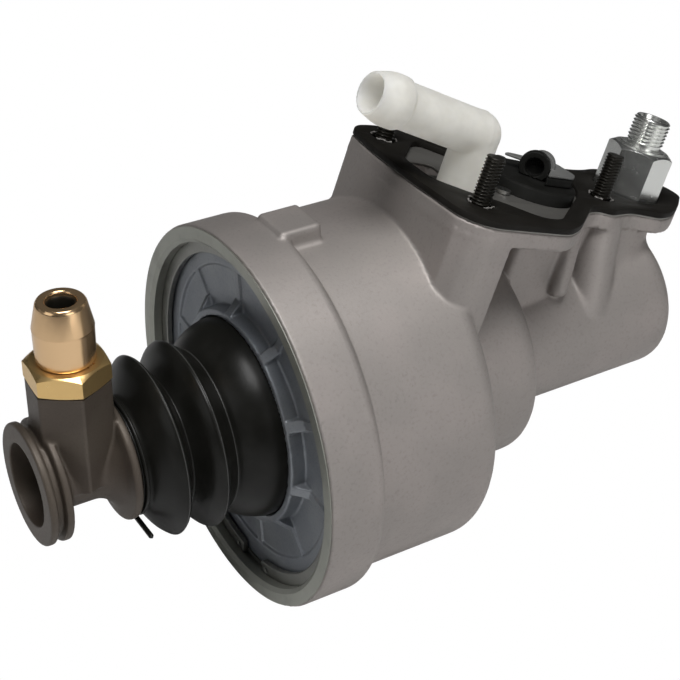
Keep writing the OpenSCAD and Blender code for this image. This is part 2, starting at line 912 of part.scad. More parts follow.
module bronze_nose() {
    color([0.70, 0.50, 0.26])
        translate([boss_x, 0, boss_top + nut_h + seat_gap])
            difference() {
                union() {
                    translate([0, 0, -nose_deep])
                        cylinder(r = nose_stub_r, h = nose_deep + 1);
                    cylinder(r = nose_base_r, h = nose_len);
                    translate([0, 0, nose_len])
                        cylinder(r1 = nose_base_r, r2 = 8.2, h = nose_cone);
                    translate([0, 0, nose_len + nose_cone])
                        cylinder(r1 = 8.2, r2 = 7.3, h = 0.7);
                }
                translate([0, 0, -nose_deep - 1])
                    cylinder(r = nose_bore_d / 2, h = nose_deep + nose_len + nose_cone + 3);
            }
}

housing();
flange_gasket();
mounting_studs();
exhaust_elbow();
elbow_seal();
air_fitting();
fitting_seal();
valve_cap();
valve_block();
valve_barrel();
valve_plunger();
valve_screws();
valve_seal();
chamber_bushing();
front_cover();
cover_o_ring();
snap_ring();
guide_bush();
rod_wiper();
boot();
boot_clip();
boot_collar();
push_rod();
piston();
piston_seal();
guide_ring();
piston_nut();
front_spring_seat();
preload_spring();
rear_spring_seat();
sensor_tube();
sensor_carrier();
sensor_magnet();
rod_head();
brass_nut();
bronze_nose();
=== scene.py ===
"""Looks of the clutch actuator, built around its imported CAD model.

Forms are written in millimetres in the row frame: +X along the push rod, +Z
towards the sloping flange, and the origin at the centre of the front face.
"""

import logging
import math
from dataclasses import dataclass
from enum import Enum
from functools import reduce
from operator import add
from typing import Callable, Optional, Sequence

import bpy
import numpy as np
from mathutils import Matrix, Vector

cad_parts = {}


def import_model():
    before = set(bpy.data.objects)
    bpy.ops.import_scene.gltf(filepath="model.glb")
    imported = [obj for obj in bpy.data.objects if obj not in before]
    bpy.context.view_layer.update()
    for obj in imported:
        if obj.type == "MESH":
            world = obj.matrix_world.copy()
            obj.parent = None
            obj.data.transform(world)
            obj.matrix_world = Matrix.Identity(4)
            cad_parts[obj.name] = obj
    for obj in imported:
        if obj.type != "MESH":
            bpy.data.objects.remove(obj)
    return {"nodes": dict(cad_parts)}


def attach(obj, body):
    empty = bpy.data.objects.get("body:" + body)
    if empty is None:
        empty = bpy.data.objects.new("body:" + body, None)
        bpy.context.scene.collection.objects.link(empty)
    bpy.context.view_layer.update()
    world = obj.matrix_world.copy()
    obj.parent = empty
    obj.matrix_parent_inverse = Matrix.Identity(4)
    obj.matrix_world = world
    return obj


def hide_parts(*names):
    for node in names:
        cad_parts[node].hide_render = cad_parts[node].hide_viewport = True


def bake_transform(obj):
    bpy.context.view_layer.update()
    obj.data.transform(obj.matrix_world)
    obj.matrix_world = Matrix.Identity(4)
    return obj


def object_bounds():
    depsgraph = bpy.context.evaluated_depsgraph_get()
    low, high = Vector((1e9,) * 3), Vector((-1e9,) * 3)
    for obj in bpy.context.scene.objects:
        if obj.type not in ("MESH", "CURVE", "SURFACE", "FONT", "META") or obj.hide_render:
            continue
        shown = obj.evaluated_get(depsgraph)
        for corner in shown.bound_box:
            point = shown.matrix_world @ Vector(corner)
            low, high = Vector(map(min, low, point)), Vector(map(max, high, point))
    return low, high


LOG = logging.getLogger("clutch_actuator")
MM = 0.001
TAU = 2.0 * math.pi


# ---------------------------------------------------------------- places

@dataclass(frozen=True)
class Place:
    """A local frame: where its origin lies in the row and how it is turned.

    Attributes:
        origin: Position of the local origin, in millimetres.
        axes: Rows are the local x, y and z directions in the row frame.
    """

    origin: np.ndarray
    axes: np.ndarray

    def local(self, points: np.ndarray) -> np.ndarray:
        """Row points seen from this place."""
        return (points - self.origin) @ self.axes.T

    def row(self, points: np.ndarray) -> np.ndarray:
        """Local points put into the row frame."""
        return points @ self.axes + self.origin

    def moved(self, x: float = 0.0, y: float = 0.0, z: float = 0.0) -> "Place":
        """This place shifted along its own axes."""
        return Place(self.row(np.array([x, y, z])), self.axes)

    def turned(self, axis: str, degrees: float) -> "Place":
        """This place turned about one of its own axes."""
        turn = np.array(Matrix.Rotation(math.radians(degrees), 3, axis)).T
        return Place(self.origin, turn @ self.axes)


ROW = Place(np.zeros(3), np.eye(3))
# Local z runs along the main axis, so turned forms use one convention
MAIN = Place(np.zeros(3), np.array([[0.0, 1.0, 0.0], [0.0, 0.0, 1.0], [1.0, 0.0, 0.0]]))
DRUM_BACK = -75.0
FLANGE_TILT = 20.0
FLANGE_H = 79.0
GASKET_T = 2.5
FLANGE = Place(np.array([DRUM_BACK, 0.0, 0.0]), np.eye(3)).turned("Y", -FLANGE_TILT)
STUD_AT = ((17.5, -32.1), (15.5, 29.7), (-67.9, 5.6))
FITTING_AT = (-94.5, -7.3)
ELBOW_AT = (8.5, 8.0)
VALVE_AT = (-34.0, -1.0)
BUSHING_AT = (-13.5, 8.5)
PORT_AT = (12.0, -8.5)
PORT_W = 12.5
PLUNGER_AT = (-56.5, -6.0)

Corner = tuple[float, float, float]


def rounded(corners: Sequence[Corner], steps: int = 6) -> np.ndarray:
    """Closed line through corners whose third number is the tangent length.

    Each corner is a quadratic curve that leaves and meets the two edges at
    the tangent length from the corner.

    Args:
        corners: Corners as (u, y, tangent length).
        steps: Pieces in each corner's curve.

    Returns:
        Points of the line, shaped (count, 2).
    """
    data = np.array(corners, float)
    at, length = data[:, :2], data[:, 2:3]
    back = np.roll(at, 1, axis=0) - at
    ahead = np.roll(at, -1, axis=0) - at
    start = at + back / np.linalg.norm(back, axis=1, keepdims=True) * length
    end = at + ahead / np.linalg.norm(ahead, axis=1, keepdims=True) * length
    t = np.linspace(0.0, 1.0, steps + 1)[None, :, None]
    curve = start[:, None] * (1 - t) ** 2 + at[:, None] * 2 * t * (1 - t) + end[:, None] * t ** 2
    line = curve.reshape(-1, 2)
    apart = np.linalg.norm(line - np.roll(line, 1, axis=0), axis=1) > 1e-4
    return line[apart]


FLANGE_LINE = rounded((
    (30.3, -22, 6), (26.8, -40.5, 3), (21.5, -45, 3), (13, -47.4, 4), (2.5, -47.2, 5),
    (-15.5, -32.5, 8), (-72.5, -24, 8), (-86, -26.5, 5), (-98, -31.5, 7), (-116, -29.5, 8),
    (-130.5, -19, 4), (-130.5, -9, 4), (-116, 4.6, 7), (-104, 13.5, 5), (-94.5, 17, 3.5),
    (-80, 14.3, 5), (-64, 19.9, 3), (-57.5, 17.3, 2.5), (-50.5, 19.7, 3), (-27, 40.8, 6),
    (-17, 46.8, 4), (20.5, 47.8, 4), (27.5, 43.8, 3), (31.2, 38, 3), (32.2, 8, 8)))
WINDOW_LINE = rounded((
    (22, -11, 4), (22.5, 8.5, 5), (10.5, 20.3, 4), (2.5, 24.5, 4), (-9.5, 37.8, 5),
    (-19.5, 37.2, 4), (-56.5, 5, 6), (-64, -8, 5), (-61.5, -19, 4), (-29.5, -23, 6),
    (-13.5, -24, 5), (-3.5, -35, 3), (2.5, -33, 3)))
TOWER_LINE = rounded((
    (30.3, -22, 6), (26.8, -40.5, 3), (21.5, -45, 3), (13, -46.9, 4), (3, -46.7, 4),
    (-14, -31, 7), (-54, -22, 5), (-54, 13, 4), (-46, 19.5, 4), (-21, 20.4, 2.5),
    (-17.5, 13, 2.5), (0.5, 12, 3), (4.5, 24, 3), (6.0, 40.5, 3), (9.5, 47.4, 2.5),
    (20.5, 47.8, 3), (27.5, 43.8, 2), (31.1, 38.2, 0.7), (32.1, 8, 8)))
BOSS_LINE = rounded((
    (-70, 14, 3), (-90, 14.6, 5), (-99, 10, 5), (-103.5, -1, 5), (-103.5, -11, 5),
    (-98, -18, 5), (-78, -17, 4), (-70, -10, 3)))
TAIL_LINE = rounded((
    (-40, -16, 3), (-90, -18, 5), (-96, -8, 4), (-90, 4, 4), (-78, 7, 4),
    (-70, 13.5, 3), (-58, 13.5, 3), (-40, 7, 3)))


# ---------------------------------------------------------------- solids

class Solid:
    """A closed form given by its signed distance, negative inside."""

    def __init__(self, distance: Callable[[np.ndarray], np.ndarray]) -> None:
        """Wrap a distance function."""
        self.distance = distance

    def __call__(self, points: np.ndarray) -> np.ndarray:
        """Distances of row points from the surface."""
        return self.distance(points)

    def __or__(self, other: "Solid") -> "Solid":
        """Both forms, with a sharp inside corner."""
        return Solid(lambda p: np.minimum(self(p), other(p)))

    def __and__(self, other: "Solid") -> "Solid":
        """The part that both forms hold."""
        return Solid(lambda p: np.maximum(self(p), other(p)))

    def join(self, other: "Solid", fillet: float) -> "Solid":
        """Both forms with a fillet where they meet.

        Args:
            other: The form to add.
            fillet: Width of the blend, a little over the fillet's radius.

        Returns:
            The joined form.
        """
        def distance(p: np.ndarray) -> np.ndarray:
            """Distances of the joined form.

            Args:
                p: Points in the row frame.

            Returns:
                Signed distances.
            """
            a, b = self(p), other(p)
            lack = np.clip(fillet - np.abs(a - b), 0.0, None) / fillet
            return np.minimum(a, b) - lack * lack * fillet * 0.25
        return Solid(distance)

    def cut(self, other: "Solid", edge: float) -> "Solid":
        """This form less the other, with a rounded edge.

        Args:
            other: The form to cut away.
            edge: Width of the rounding.

        Returns:
            The cut form.
        """
        def distance(p: np.ndarray) -> np.ndarray:
            """Distances of the cut form.

            Args:
                p: Points in the row frame.

            Returns:
                Signed distances.
            """
            a, b = self(p), -other(p)
            lack = np.clip(edge - np.abs(a - b), 0.0, None) / edge
            return np.maximum(a, b) + lack * lack * edge * 0.25
        return Solid(distance)


class Outline:
    """Signed distance to a closed 2D line, looked up in a fine table."""

    def __init__(self, line: np.ndarray, pitch: float = 0.4, margin: float = 10.0) -> None:
        """Fill the table.

        Args:
            line: Points of the closed line, shaped (count, 2).
            pitch: Spacing of the table.
            margin: How far the table reaches past the line.
        """
        self.low = line.min(axis=0) - margin
        self.pitch = pitch
        shape = np.ceil((line.max(axis=0) + margin - self.low) / pitch).astype(int) + 2
        u, v = np.meshgrid(*(self.low[k] + pitch * np.arange(shape[k]) for k in (0, 1)),
                           indexing="ij")
        nearest = np.full(u.shape, np.inf)
        inside = np.zeros(u.shape, bool)
        for a, b in zip(line, np.roll(line, -1, axis=0)):
            edge = b - a
            t = ((u - a[0]) * edge[0] + (v - a[1]) * edge[1]) / (edge @ edge)
            t = np.clip(t, 0.0, 1.0)
            away = (u - a[0] - t * edge[0]) ** 2 + (v - a[1] - t * edge[1]) ** 2
            nearest = np.minimum(nearest, away)
            if a[1] != b[1]:
                spans = (a[1] > v) != (b[1] > v)
                inside ^= spans & (u < a[0] + (v - a[1]) / edge[1] * edge[0])
        self.table = np.sqrt(nearest) * np.where(inside, -1.0, 1.0)

    def __call__(self, u: np.ndarray, v: np.ndarray) -> np.ndarray:
        """Distance at each place, by straight mixing between table entries.

        Args:
            u: First coordinate.
            v: Second coordinate.

        Returns:
            Signed distances.
        """
        top = np.array(self.table.shape) - 1.001
        a = (u - self.low[0]) / self.pitch
        b = (v - self.low[1]) / self.pitch
        ca, cb = np.clip(a, 0.0, top[0]), np.clip(b, 0.0, top[1])
        i, j = ca.astype(int), cb.astype(int)
        s, t = ca - i, cb - j
        near = self.table[i, j] * (1 - s) + self.table[i + 1, j] * s
        far = self.table[i, j + 1] * (1 - s) + self.table[i + 1, j + 1] * s
        past = np.hypot(a - ca, b - cb) * self.pitch
        return near * (1 - t) + far * t + past


def between_ends(place_z: np.ndarray, low: float, high: float) -> np.ndarray:
    """Signed distance to the slab from low to high."""
    return np.abs(place_z - (low + high) / 2) - (high - low) / 2


def traced(corners: Sequence[Corner], pitch: float = 0.2) -> Outline:
    """The outline through rounded corners."""
    return Outline(rounded(corners), pitch)


def boxed(across: np.ndarray, along: np.ndarray, edge: float) -> np.ndarray:
    """Distance to a form that is bounded in two directions, edges rounded.

    Args:
        across: Signed distance in the first direction.
        along: Signed distance in the second direction.
        edge: Radius of the rounded edges.

    Returns:
        Signed distances.
    """
    a, b = across + edge, along + edge
    outside = np.hypot(np.maximum(a, 0.0), np.maximum(b, 0.0))
    return outside + np.minimum(np.maximum(a, b), 0.0) - edge


def prism(line: Outline, place: Place, low: float, high: float, edge: float = 0.8) -> Solid:
    """An outline drawn out along its place's z axis.

    Args:
        line: Outline in the place's x and y.
        place: Where it stands.
        low: Lower end along z.
        high: Upper end along z.
        edge: Radius of the end edges.

    Returns:
        The solid.
    """
    def distance(p: np.ndarray) -> np.ndarray:
        """Distances of the drawn outline."""
        q = place.local(p)
        return boxed(line(q[..., 0], q[..., 1]), between_ends(q[..., 2], low, high), edge)
    return Solid(distance)


def turned_form(line: Outline, place: Place) -> Solid:
    """An outline in (station, radius) turned about its place's z axis.

    Args:
        line: Outline whose first number is z and second the radius.
        place: Where it stands.

    Returns:
        The solid.
    """
    def distance(p: np.ndarray) -> np.ndarray:
        """Distances of the turned outline."""
        q = place.local(p)
        return line(q[..., 2], np.hypot(q[..., 0], q[..., 1]))
    return Solid(distance)


def rod(place: Place, radius: float, low: float, high: float, edge: float = 0.4,
        taper: float = 0.0) -> Solid:
    """A round bar along its place's z axis.

    Args:
        place: Where it stands.
        radius: Radius at the upper end.
        low: Lower end along z.
        high: Upper end along z.
        edge: Radius of the end edges.
        taper: How much wider the radius is at the lower end.

    Returns:
        The solid.
    """
    def distance(p: np.ndarray) -> np.ndarray:
        """Distances of the bar.

        Args:
            p: Points in the row frame.

        Returns:
            Signed distances.
        """
        q = place.local(p)
        wide = radius + taper * np.clip((high - q[..., 2]) / (high - low), 0.0, 1.0)
        return boxed(np.hypot(q[..., 0], q[..., 1]) - wide, between_ends(q[..., 2], low, high),
                     edge)
    return Solid(distance)


def block(place: Place, low: Sequence[float], high: Sequence[float], edge: float = 0.6) -> Solid:
    """A box with rounded edges.

    Args:
        place: Local frame of the box.
        low: Lowest corner in local coordinates.
        high: Highest corner in local coordinates.
        edge: Radius of its edges.

    Returns:
        The solid.
    """
    centre = (np.array(high) + np.array(low)) / 2
    half = (np.array(high) - np.array(low)) / 2 - edge

    def distance(p: np.ndarray) -> np.ndarray:
        """Distances of the box.

        Args:
            p: Points in the row frame.

        Returns:
            Signed distances.
        """
        q = np.abs(place.local(p) - centre) - half
        outside = np.linalg.norm(np.maximum(q, 0.0), axis=-1)
        return outside + np.minimum(q.max(axis=-1), 0.0) - edge
    return Solid(distance)


def leaning(u: float, y: float, degrees: float) -> Place:
    """A place on the flange's face whose z axis leans towards +y going down."""
    return FLANGE.moved(u, y, FLANGE_H).turned("X", degrees)


def ball(place: Place, radius: float) -> Solid:
    """A sphere about its place's origin."""
    return Solid(lambda p: np.linalg.norm(place.local(p), axis=-1) - radius)


# ---------------------------------------------------------------- meshes

@dataclass
class Shape:
    """A mesh in row millimetres.

    Attributes:
        points: Vertices, shaped (count, 3).
        quads: Vertex numbers, four a face; a triangle repeats its last one.
        normals: Vertex normals, or None for normals made from the faces.
    """

    points: np.ndarray
    quads: np.ndarray
    normals: Optional[np.ndarray] = None

    def __add__(self, other: "Shape") -> "Shape":
        """Both meshes in one.

        Args:
            other: The mesh to add.

        Returns:
            The mesh, without normals where one of the two brings none.
        """
        normals = None
        if self.normals is not None and other.normals is not None:
            normals = np.concatenate([self.normals, other.normals])
        return Shape(np.concatenate([self.points, other.points]),
                     np.concatenate([self.quads, other.quads + len(self.points)]), normals)


def merged(parts: Sequence[Shape]) -> Shape:
    """All the meshes in one."""
    return reduce(add, parts)


def slope(solid: Solid, points: np.ndarray, reach: float) -> np.ndarray:
    """Gradient of the distance by central differences.

    Args:
        solid: The form.
        points: Where to measure.
        reach: Half the distance between the two samples.

    Returns:
        Gradients, shaped like points.
    """
    result = np.empty_like(points)
    for axis in range(3):
        shift = np.zeros(3)
        shift[axis] = reach
        result[:, axis] = (solid(points + shift) - solid(points - shift)) / (2 * reach)
    return result


def skin(solid: Solid, low: Sequence[float], high: Sequence[float], step: float) -> Shape:
    """Mesh of a solid's surface, one vertex in each cell that it crosses.

    A cell's vertex is the mean of the crossings on its edges and is then
    moved onto the surface along the gradient. Its normal is the gradient.

    Args:
        solid: The form.
        low: Lowest corner of the searched box.
        high: Highest corner of the searched box.
        step: Size of a cell.

    Returns:
        The closed mesh.
    """
    lines = [np.arange(a, b + step, step) for a, b in zip(low, high)]
    grid = np.stack(np.meshgrid(*lines, indexing="ij"), axis=-1)
    value = solid(grid)
    cells = tuple(count - 1 for count in value.shape)
    total = np.zeros(cells + (3,))
    hits = np.zeros(cells)
    for axis in range(3):
        head = [slice(None)] * 3
        tail = [slice(None)] * 3
        head[axis], tail[axis] = slice(0, -1), slice(1, None)
        a, b = value[tuple(head)], value[tuple(tail)]
        crossed = (a < 0) != (b < 0)
        share = np.where(crossed, a / np.where(crossed, a - b, 1.0), 0.0)
        point = grid[tuple(head)].copy()
        point[..., axis] += share * step
        others = [k for k in range(3) if k != axis]
        for i in (0, 1):
            for j in (0, 1):
                part = [slice(None)] * 3
                part[others[0]] = slice(i, i + cells[others[0]])
                part[others[1]] = slice(j, j + cells[others[1]])
                seen = crossed[tuple(part)]
                total += np.where(seen[..., None], point[tuple(part)], 0.0)
                hits += seen
    used = hits > 0
    number = np.full(cells, -1)
    number[used] = np.arange(used.sum())
    points = total[used] / hits[used][:, None]
    faces = []
    for axis in range(3):
        turn = (axis, (axis + 1) % 3, (axis + 2) % 3)
        inside = np.moveaxis(value < 0, turn, (0, 1, 2))[:, 1:-1, 1:-1]
        names = np.moveaxis(number, turn, (0, 1, 2))
        crossed = inside[:-1] != inside[1:]
        quad = np.stack([names[:, :-1, :-1][crossed], names[:, 1:, :-1][crossed],
                         names[:, 1:, 1:][crossed], names[:, :-1, 1:][crossed]], axis=-1)
        outward = inside[:-1][crossed]
        faces.append(np.where(outward[:, None], quad, quad[:, ::-1]))
    for _ in range(3):
        lean = slope(solid, points, step * 0.12)
        size = np.maximum((lean ** 2).sum(axis=1), 0.05)
        points = points - lean * np.clip(solid(points) / size, -step, step)[:, None]
    normals = slope(solid, points, step * 0.25)
    normals /= np.maximum(np.linalg.norm(normals, axis=1, keepdims=True), 1e-9)
    return Shape(points, np.concatenate(faces), normals)


def ring_stack(rings: np.ndarray, closed: bool) -> Shape:
    """Mesh through a stack of rings with the same number of points.

    Args:
        rings: Points shaped (rings, around, 3), ordered so that the outward
            normal is (next point) x (next ring).
        closed: True joins the last ring to the first one; False covers each
            end with a fan about its middle.

    Returns:
        The closed mesh.
    """
    count, around = rings.shape[:2]
    points = rings.reshape(-1, 3)
    names = np.arange(count * around).reshape(count, around)
    lower = names if closed else names[:-1]
    upper = np.roll(names, -1, axis=0) if closed else names[1:]
    quads = np.stack([lower, np.roll(lower, -1, axis=1), np.roll(upper, -1, axis=1), upper],
                     axis=-1).reshape(-1, 4)
    if not closed:
        middles = np.stack([rings[0].mean(axis=0), rings[-1].mean(axis=0)])
        points = np.concatenate([points, middles])
        hub = count * around
        first, last = names[0], names[-1]
        caps = [np.stack([np.full(around, hub), np.roll(first, -1), first, first], axis=-1),
                np.stack([np.full(around, hub + 1), last, np.roll(last, -1), np.roll(last, -1)],
                         axis=-1)]
        quads = np.concatenate([quads] + caps)
    return Shape(points, quads)


def polar(radius: np.ndarray, angle: np.ndarray, z: np.ndarray) -> np.ndarray:
    """Points (radius cos angle, radius sin angle, z), spread over one another's shape."""
    return np.stack(np.broadcast_arrays(radius * np.cos(angle), radius * np.sin(angle), z),
                    axis=-1)


def full_turn(count: int) -> np.ndarray:
    """Even directions round a circle, in radians, without the last one."""
    return np.linspace(0.0, TAU, count, endpoint=False)


def revolve(place: Place, profile: np.ndarray, around: int = 128, closed: bool = True) -> Shape:
    """A closed profile turned about its place's z axis."""
    local = polar(profile[:, 1][:, None], full_turn(around), profile[:, 0][:, None])
    return ring_stack(place.row(local), closed)


def tube(path: np.ndarray, radius: np.ndarray, around: int = 16, joined: bool = False,
         core: Optional[Place] = None) -> Shape:
    """A round wire along a path.

    Args:
        path: Points of the path, shaped (count, 3).
        radius: Wire radius, one number or one for each point.
        around: Points in each ring.
        joined: True when the path is a closed loop.
        core: For a coil, the place whose z axis it is wound about; the rings
            are then set out from that axis instead of the path's middle.

    Returns:
        The mesh.
    """
    if joined:
        ahead = np.roll(path, -1, axis=0) - np.roll(path, 1, axis=0)
    else:
        ahead = np.gradient(path, axis=0)
    ahead /= np.linalg.norm(ahead, axis=1, keepdims=True)
    if core is None:
        side = path - path.mean(axis=0)
        side -= ahead * (side * ahead).sum(axis=1, keepdims=True)
    else:
        side = core.row(core.local(path) * np.array([1.0, 1.0, 0.0]))
    side /= np.linalg.norm(side, axis=1, keepdims=True)
    up = np.cross(ahead, side)
    angle = full_turn(around)[None, :, None]
    width = np.broadcast_to(np.asarray(radius, float), (len(path),))[:, None, None]
    rings = path[:, None] + width * (np.cos(angle) * side[:, None] + np.sin(angle) * up[:, None])
    return ring_stack(rings, joined)


def thread_profile(phase: np.ndarray) -> np.ndarray:
    """Height of a screw thread, 0 at the root and 1 at the crest."""
    return np.clip((0.5 - np.abs(phase % 1.0 - 0.5)) * 2.6 - 0.55, 0.0, 1.0)


@dataclass(frozen=True)
class Thread:
    """A screw thread with a run-out at its start and a chamfer at its end.

    Attributes:
        radius: Outside radius.
        pitch: Distance between turns.
        low: Lower end of the thread.
        high: Top of the bar.
        tip: Length of the chamfer.
        drop: How far the chamfer goes in, as a share of the pitch.
        runout: Length over which the thread starts.
        around: Points in each ring.
        steps: Rings in each turn.
    """

    radius: float
    pitch: float
    low: float
    high: float
    tip: float = 0.8
    drop: float = 0.69
    runout: float = 1.0
    around: int = 72
    steps: int = 12

    def rings(self) -> np.ndarray:
        """Rings up the thread, each radius the root's plus the thread's height.

        Returns:
            Points shaped (rings, around, 3).
        """
        depth = 0.6 * self.pitch
        z = np.arange(self.low, self.high + 1e-6, self.pitch / self.steps)[:, None]
        angle = full_turn(self.around)[None, :]
        height = thread_profile(z / self.pitch - angle / TAU)
        height = height * np.clip((z - self.low) / self.runout, 0.0, 1.0)
        chamfer = np.clip(1.0 - (self.high - z) / self.tip, 0.0, 1.0)
        limit = self.radius - self.drop * self.pitch * chamfer
        return polar(np.minimum(self.radius - depth + depth * height, limit), angle, z)


def plate(place: Place, outline: np.ndarray, holes: Sequence[np.ndarray], low: float,
          high: float, edge: float = 0.15) -> Shape:
    """A flat plate with holes and a fine bevel on every edge.

    Args:
        place: Where it stands; the plate lies in its x and y.
        outline: Closed line round the plate.
        holes: Closed lines of the holes.
        low: Lower face along z.
        high: Upper face along z.
        edge: Size of the bevel.

    Returns:
        The mesh.
    """
    curve = bpy.data.curves.new("plate", "CURVE")
    curve.dimensions = "2D"
    curve.fill_mode = "BOTH"
    curve.extrude = max((high - low) / 2 - edge, 0.0)
    curve.bevel_depth = edge
    curve.bevel_resolution = 1
    curve.offset = -edge
    for line in (outline, *holes):
        spline = curve.splines.new("POLY")
        spline.points.add(len(line) - 1)
        flat = np.concatenate([line, np.zeros((len(line), 1)), np.ones((len(line), 1))], axis=1)
        spline.points.foreach_set("co", flat.ravel())
        spline.use_cyclic_u = True
    holder = bpy.data.objects.new("plate", curve)
    mesh = bpy.data.meshes.new_from_object(holder)
    points = np.empty(len(mesh.vertices) * 3)
    mesh.vertices.foreach_get("co", points)
    mesh.calc_loop_triangles()
    corners = np.empty(len(mesh.loop_triangles) * 3, int)
    mesh.loop_triangles.foreach_get("vertices", corners)
    triangles = corners.reshape(-1, 3)
    points = points.reshape(-1, 3)
    bpy.data.objects.remove(holder)
    bpy.data.curves.remove(curve)
    bpy.data.meshes.remove(mesh)
    _, first, name = np.unique(np.round(points, 4), axis=0, return_index=True,
                               return_inverse=True)
    points, triangles = points[first], name.ravel()[triangles]
    kept = ((triangles[:, 0] != triangles[:, 1]) & (triangles[:, 1] != triangles[:, 2])
            & (triangles[:, 2] != triangles[:, 0]))
    triangles = triangles[kept]
    points[:, 2] += (low + high) / 2
    return Shape(place.row(points), np.concatenate([triangles, triangles[:, 2:]], axis=1))


def circle(at: Sequence[float], radius: float, count: int = 64) -> np.ndarray:
    """Points of a circle."""
    angle = full_turn(count)
    return np.stack([at[0] + radius * np.cos(angle), at[1] + radius * np.sin(angle)], axis=-1)


def link(name: str, data: bpy.types.ID) -> bpy.types.Object:
    """A new object in the scene that shows the data.

    Args:
        name: The object's name.
        data: Its mesh, camera or lamp.

    Returns:
        The object.
    """
    made = bpy.data.objects.new(name, data)
    bpy.context.scene.collection.objects.link(made)
    return made


def build(name: str, shape: Shape, finish: "Finish", stands_for: str = "",
          sharp: float = 34.0, body: str = "housing", bends: Sequence[float] = ()) -> None:
    """Make a piece of the object and tie it to its body.

    Args:
        name: The piece's name.
        shape: Its mesh in row millimetres.
        finish: Its finish.
        stands_for: The CAD node that it replaces.
        sharp: Angle in degrees over which an edge stays sharp, used where the
            shape brings no normals.
        body: The CAD body that it rides on.
        bends: For a piece that bends between the housing and the rod, its two
        ends along the main axis in millimetres; when given, the piece is left
        off every body with its transform baked in, and the end values are not used.
    """
    mesh = bpy.data.meshes.new(name)
    triangle = shape.quads[:, 2] == shape.quads[:, 3]
    quads, triangles = shape.quads[~triangle], shape.quads[triangle, :3]
    corners = np.concatenate([quads.ravel(), triangles.ravel()])
    sizes = np.concatenate([np.full(len(quads), 4), np.full(len(triangles), 3)])
    mesh.vertices.add(len(shape.points))
    mesh.vertices.foreach_set("co", (shape.points * MM).ravel())
    mesh.loops.add(len(corners))
    mesh.loops.foreach_set("vertex_index", corners)
    mesh.polygons.add(len(sizes))
    mesh.polygons.foreach_set("loop_start", np.concatenate([[0], np.cumsum(sizes)[:-1]]))
    mesh.update(calc_edges=True)
    mesh.validate()
    mesh.shade_smooth()
    if shape.normals is None:
        mesh.set_sharp_from_angle(angle=math.radians(sharp))
    else:
        mesh.normals_split_custom_set_from_vertices(shape.normals)
    mesh.materials.append(finish.material())
    piece = link(name, mesh)
    if stands_for:
        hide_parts(stands_for)
    if bends:
        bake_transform(piece)
    else:
        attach(piece, body)
    LOG.info("%s: %d faces", name, len(sizes))


# ---------------------------------------------------------------- finishes

class Wire:
    """A shader value that can be used in sums."""

    def __init__(self, graph: "Graph", socket: bpy.types.NodeSocket) -> None:
        """Hold an output socket."""
        self.graph = graph
        self.socket = socket

    def _maths(self, kind: str, first: object, second: object) -> "Wire":
        """One maths node."""
        return self.graph.node("ShaderNodeMath", {"operation": kind}, {0: first, 1: second})

    def __add__(self, other: object) -> "Wire":
        """This value plus another."""
        return self._maths("ADD", self, other)

    __radd__ = __add__

    def __sub__(self, other: object) -> "Wire":
        """This value less another."""
        return self._maths("SUBTRACT", self, other)

    def __rsub__(self, other: object) -> "Wire":
        """Another value less this one."""
        return self._maths("SUBTRACT", other, self)

    def __mul__(self, other: object) -> "Wire":
        """This value times another."""
        return self._maths("MULTIPLY", self, other)

    __rmul__ = __mul__

    def between(self, low: float, high: float) -> "Wire":
        """0 below low, 1 above high and a smooth rise between."""
        return self.graph.node("ShaderNodeMapRange", {"interpolation_type": "SMOOTHSTEP"},
                               {"Value": self, "From Min": low, "From Max": high})


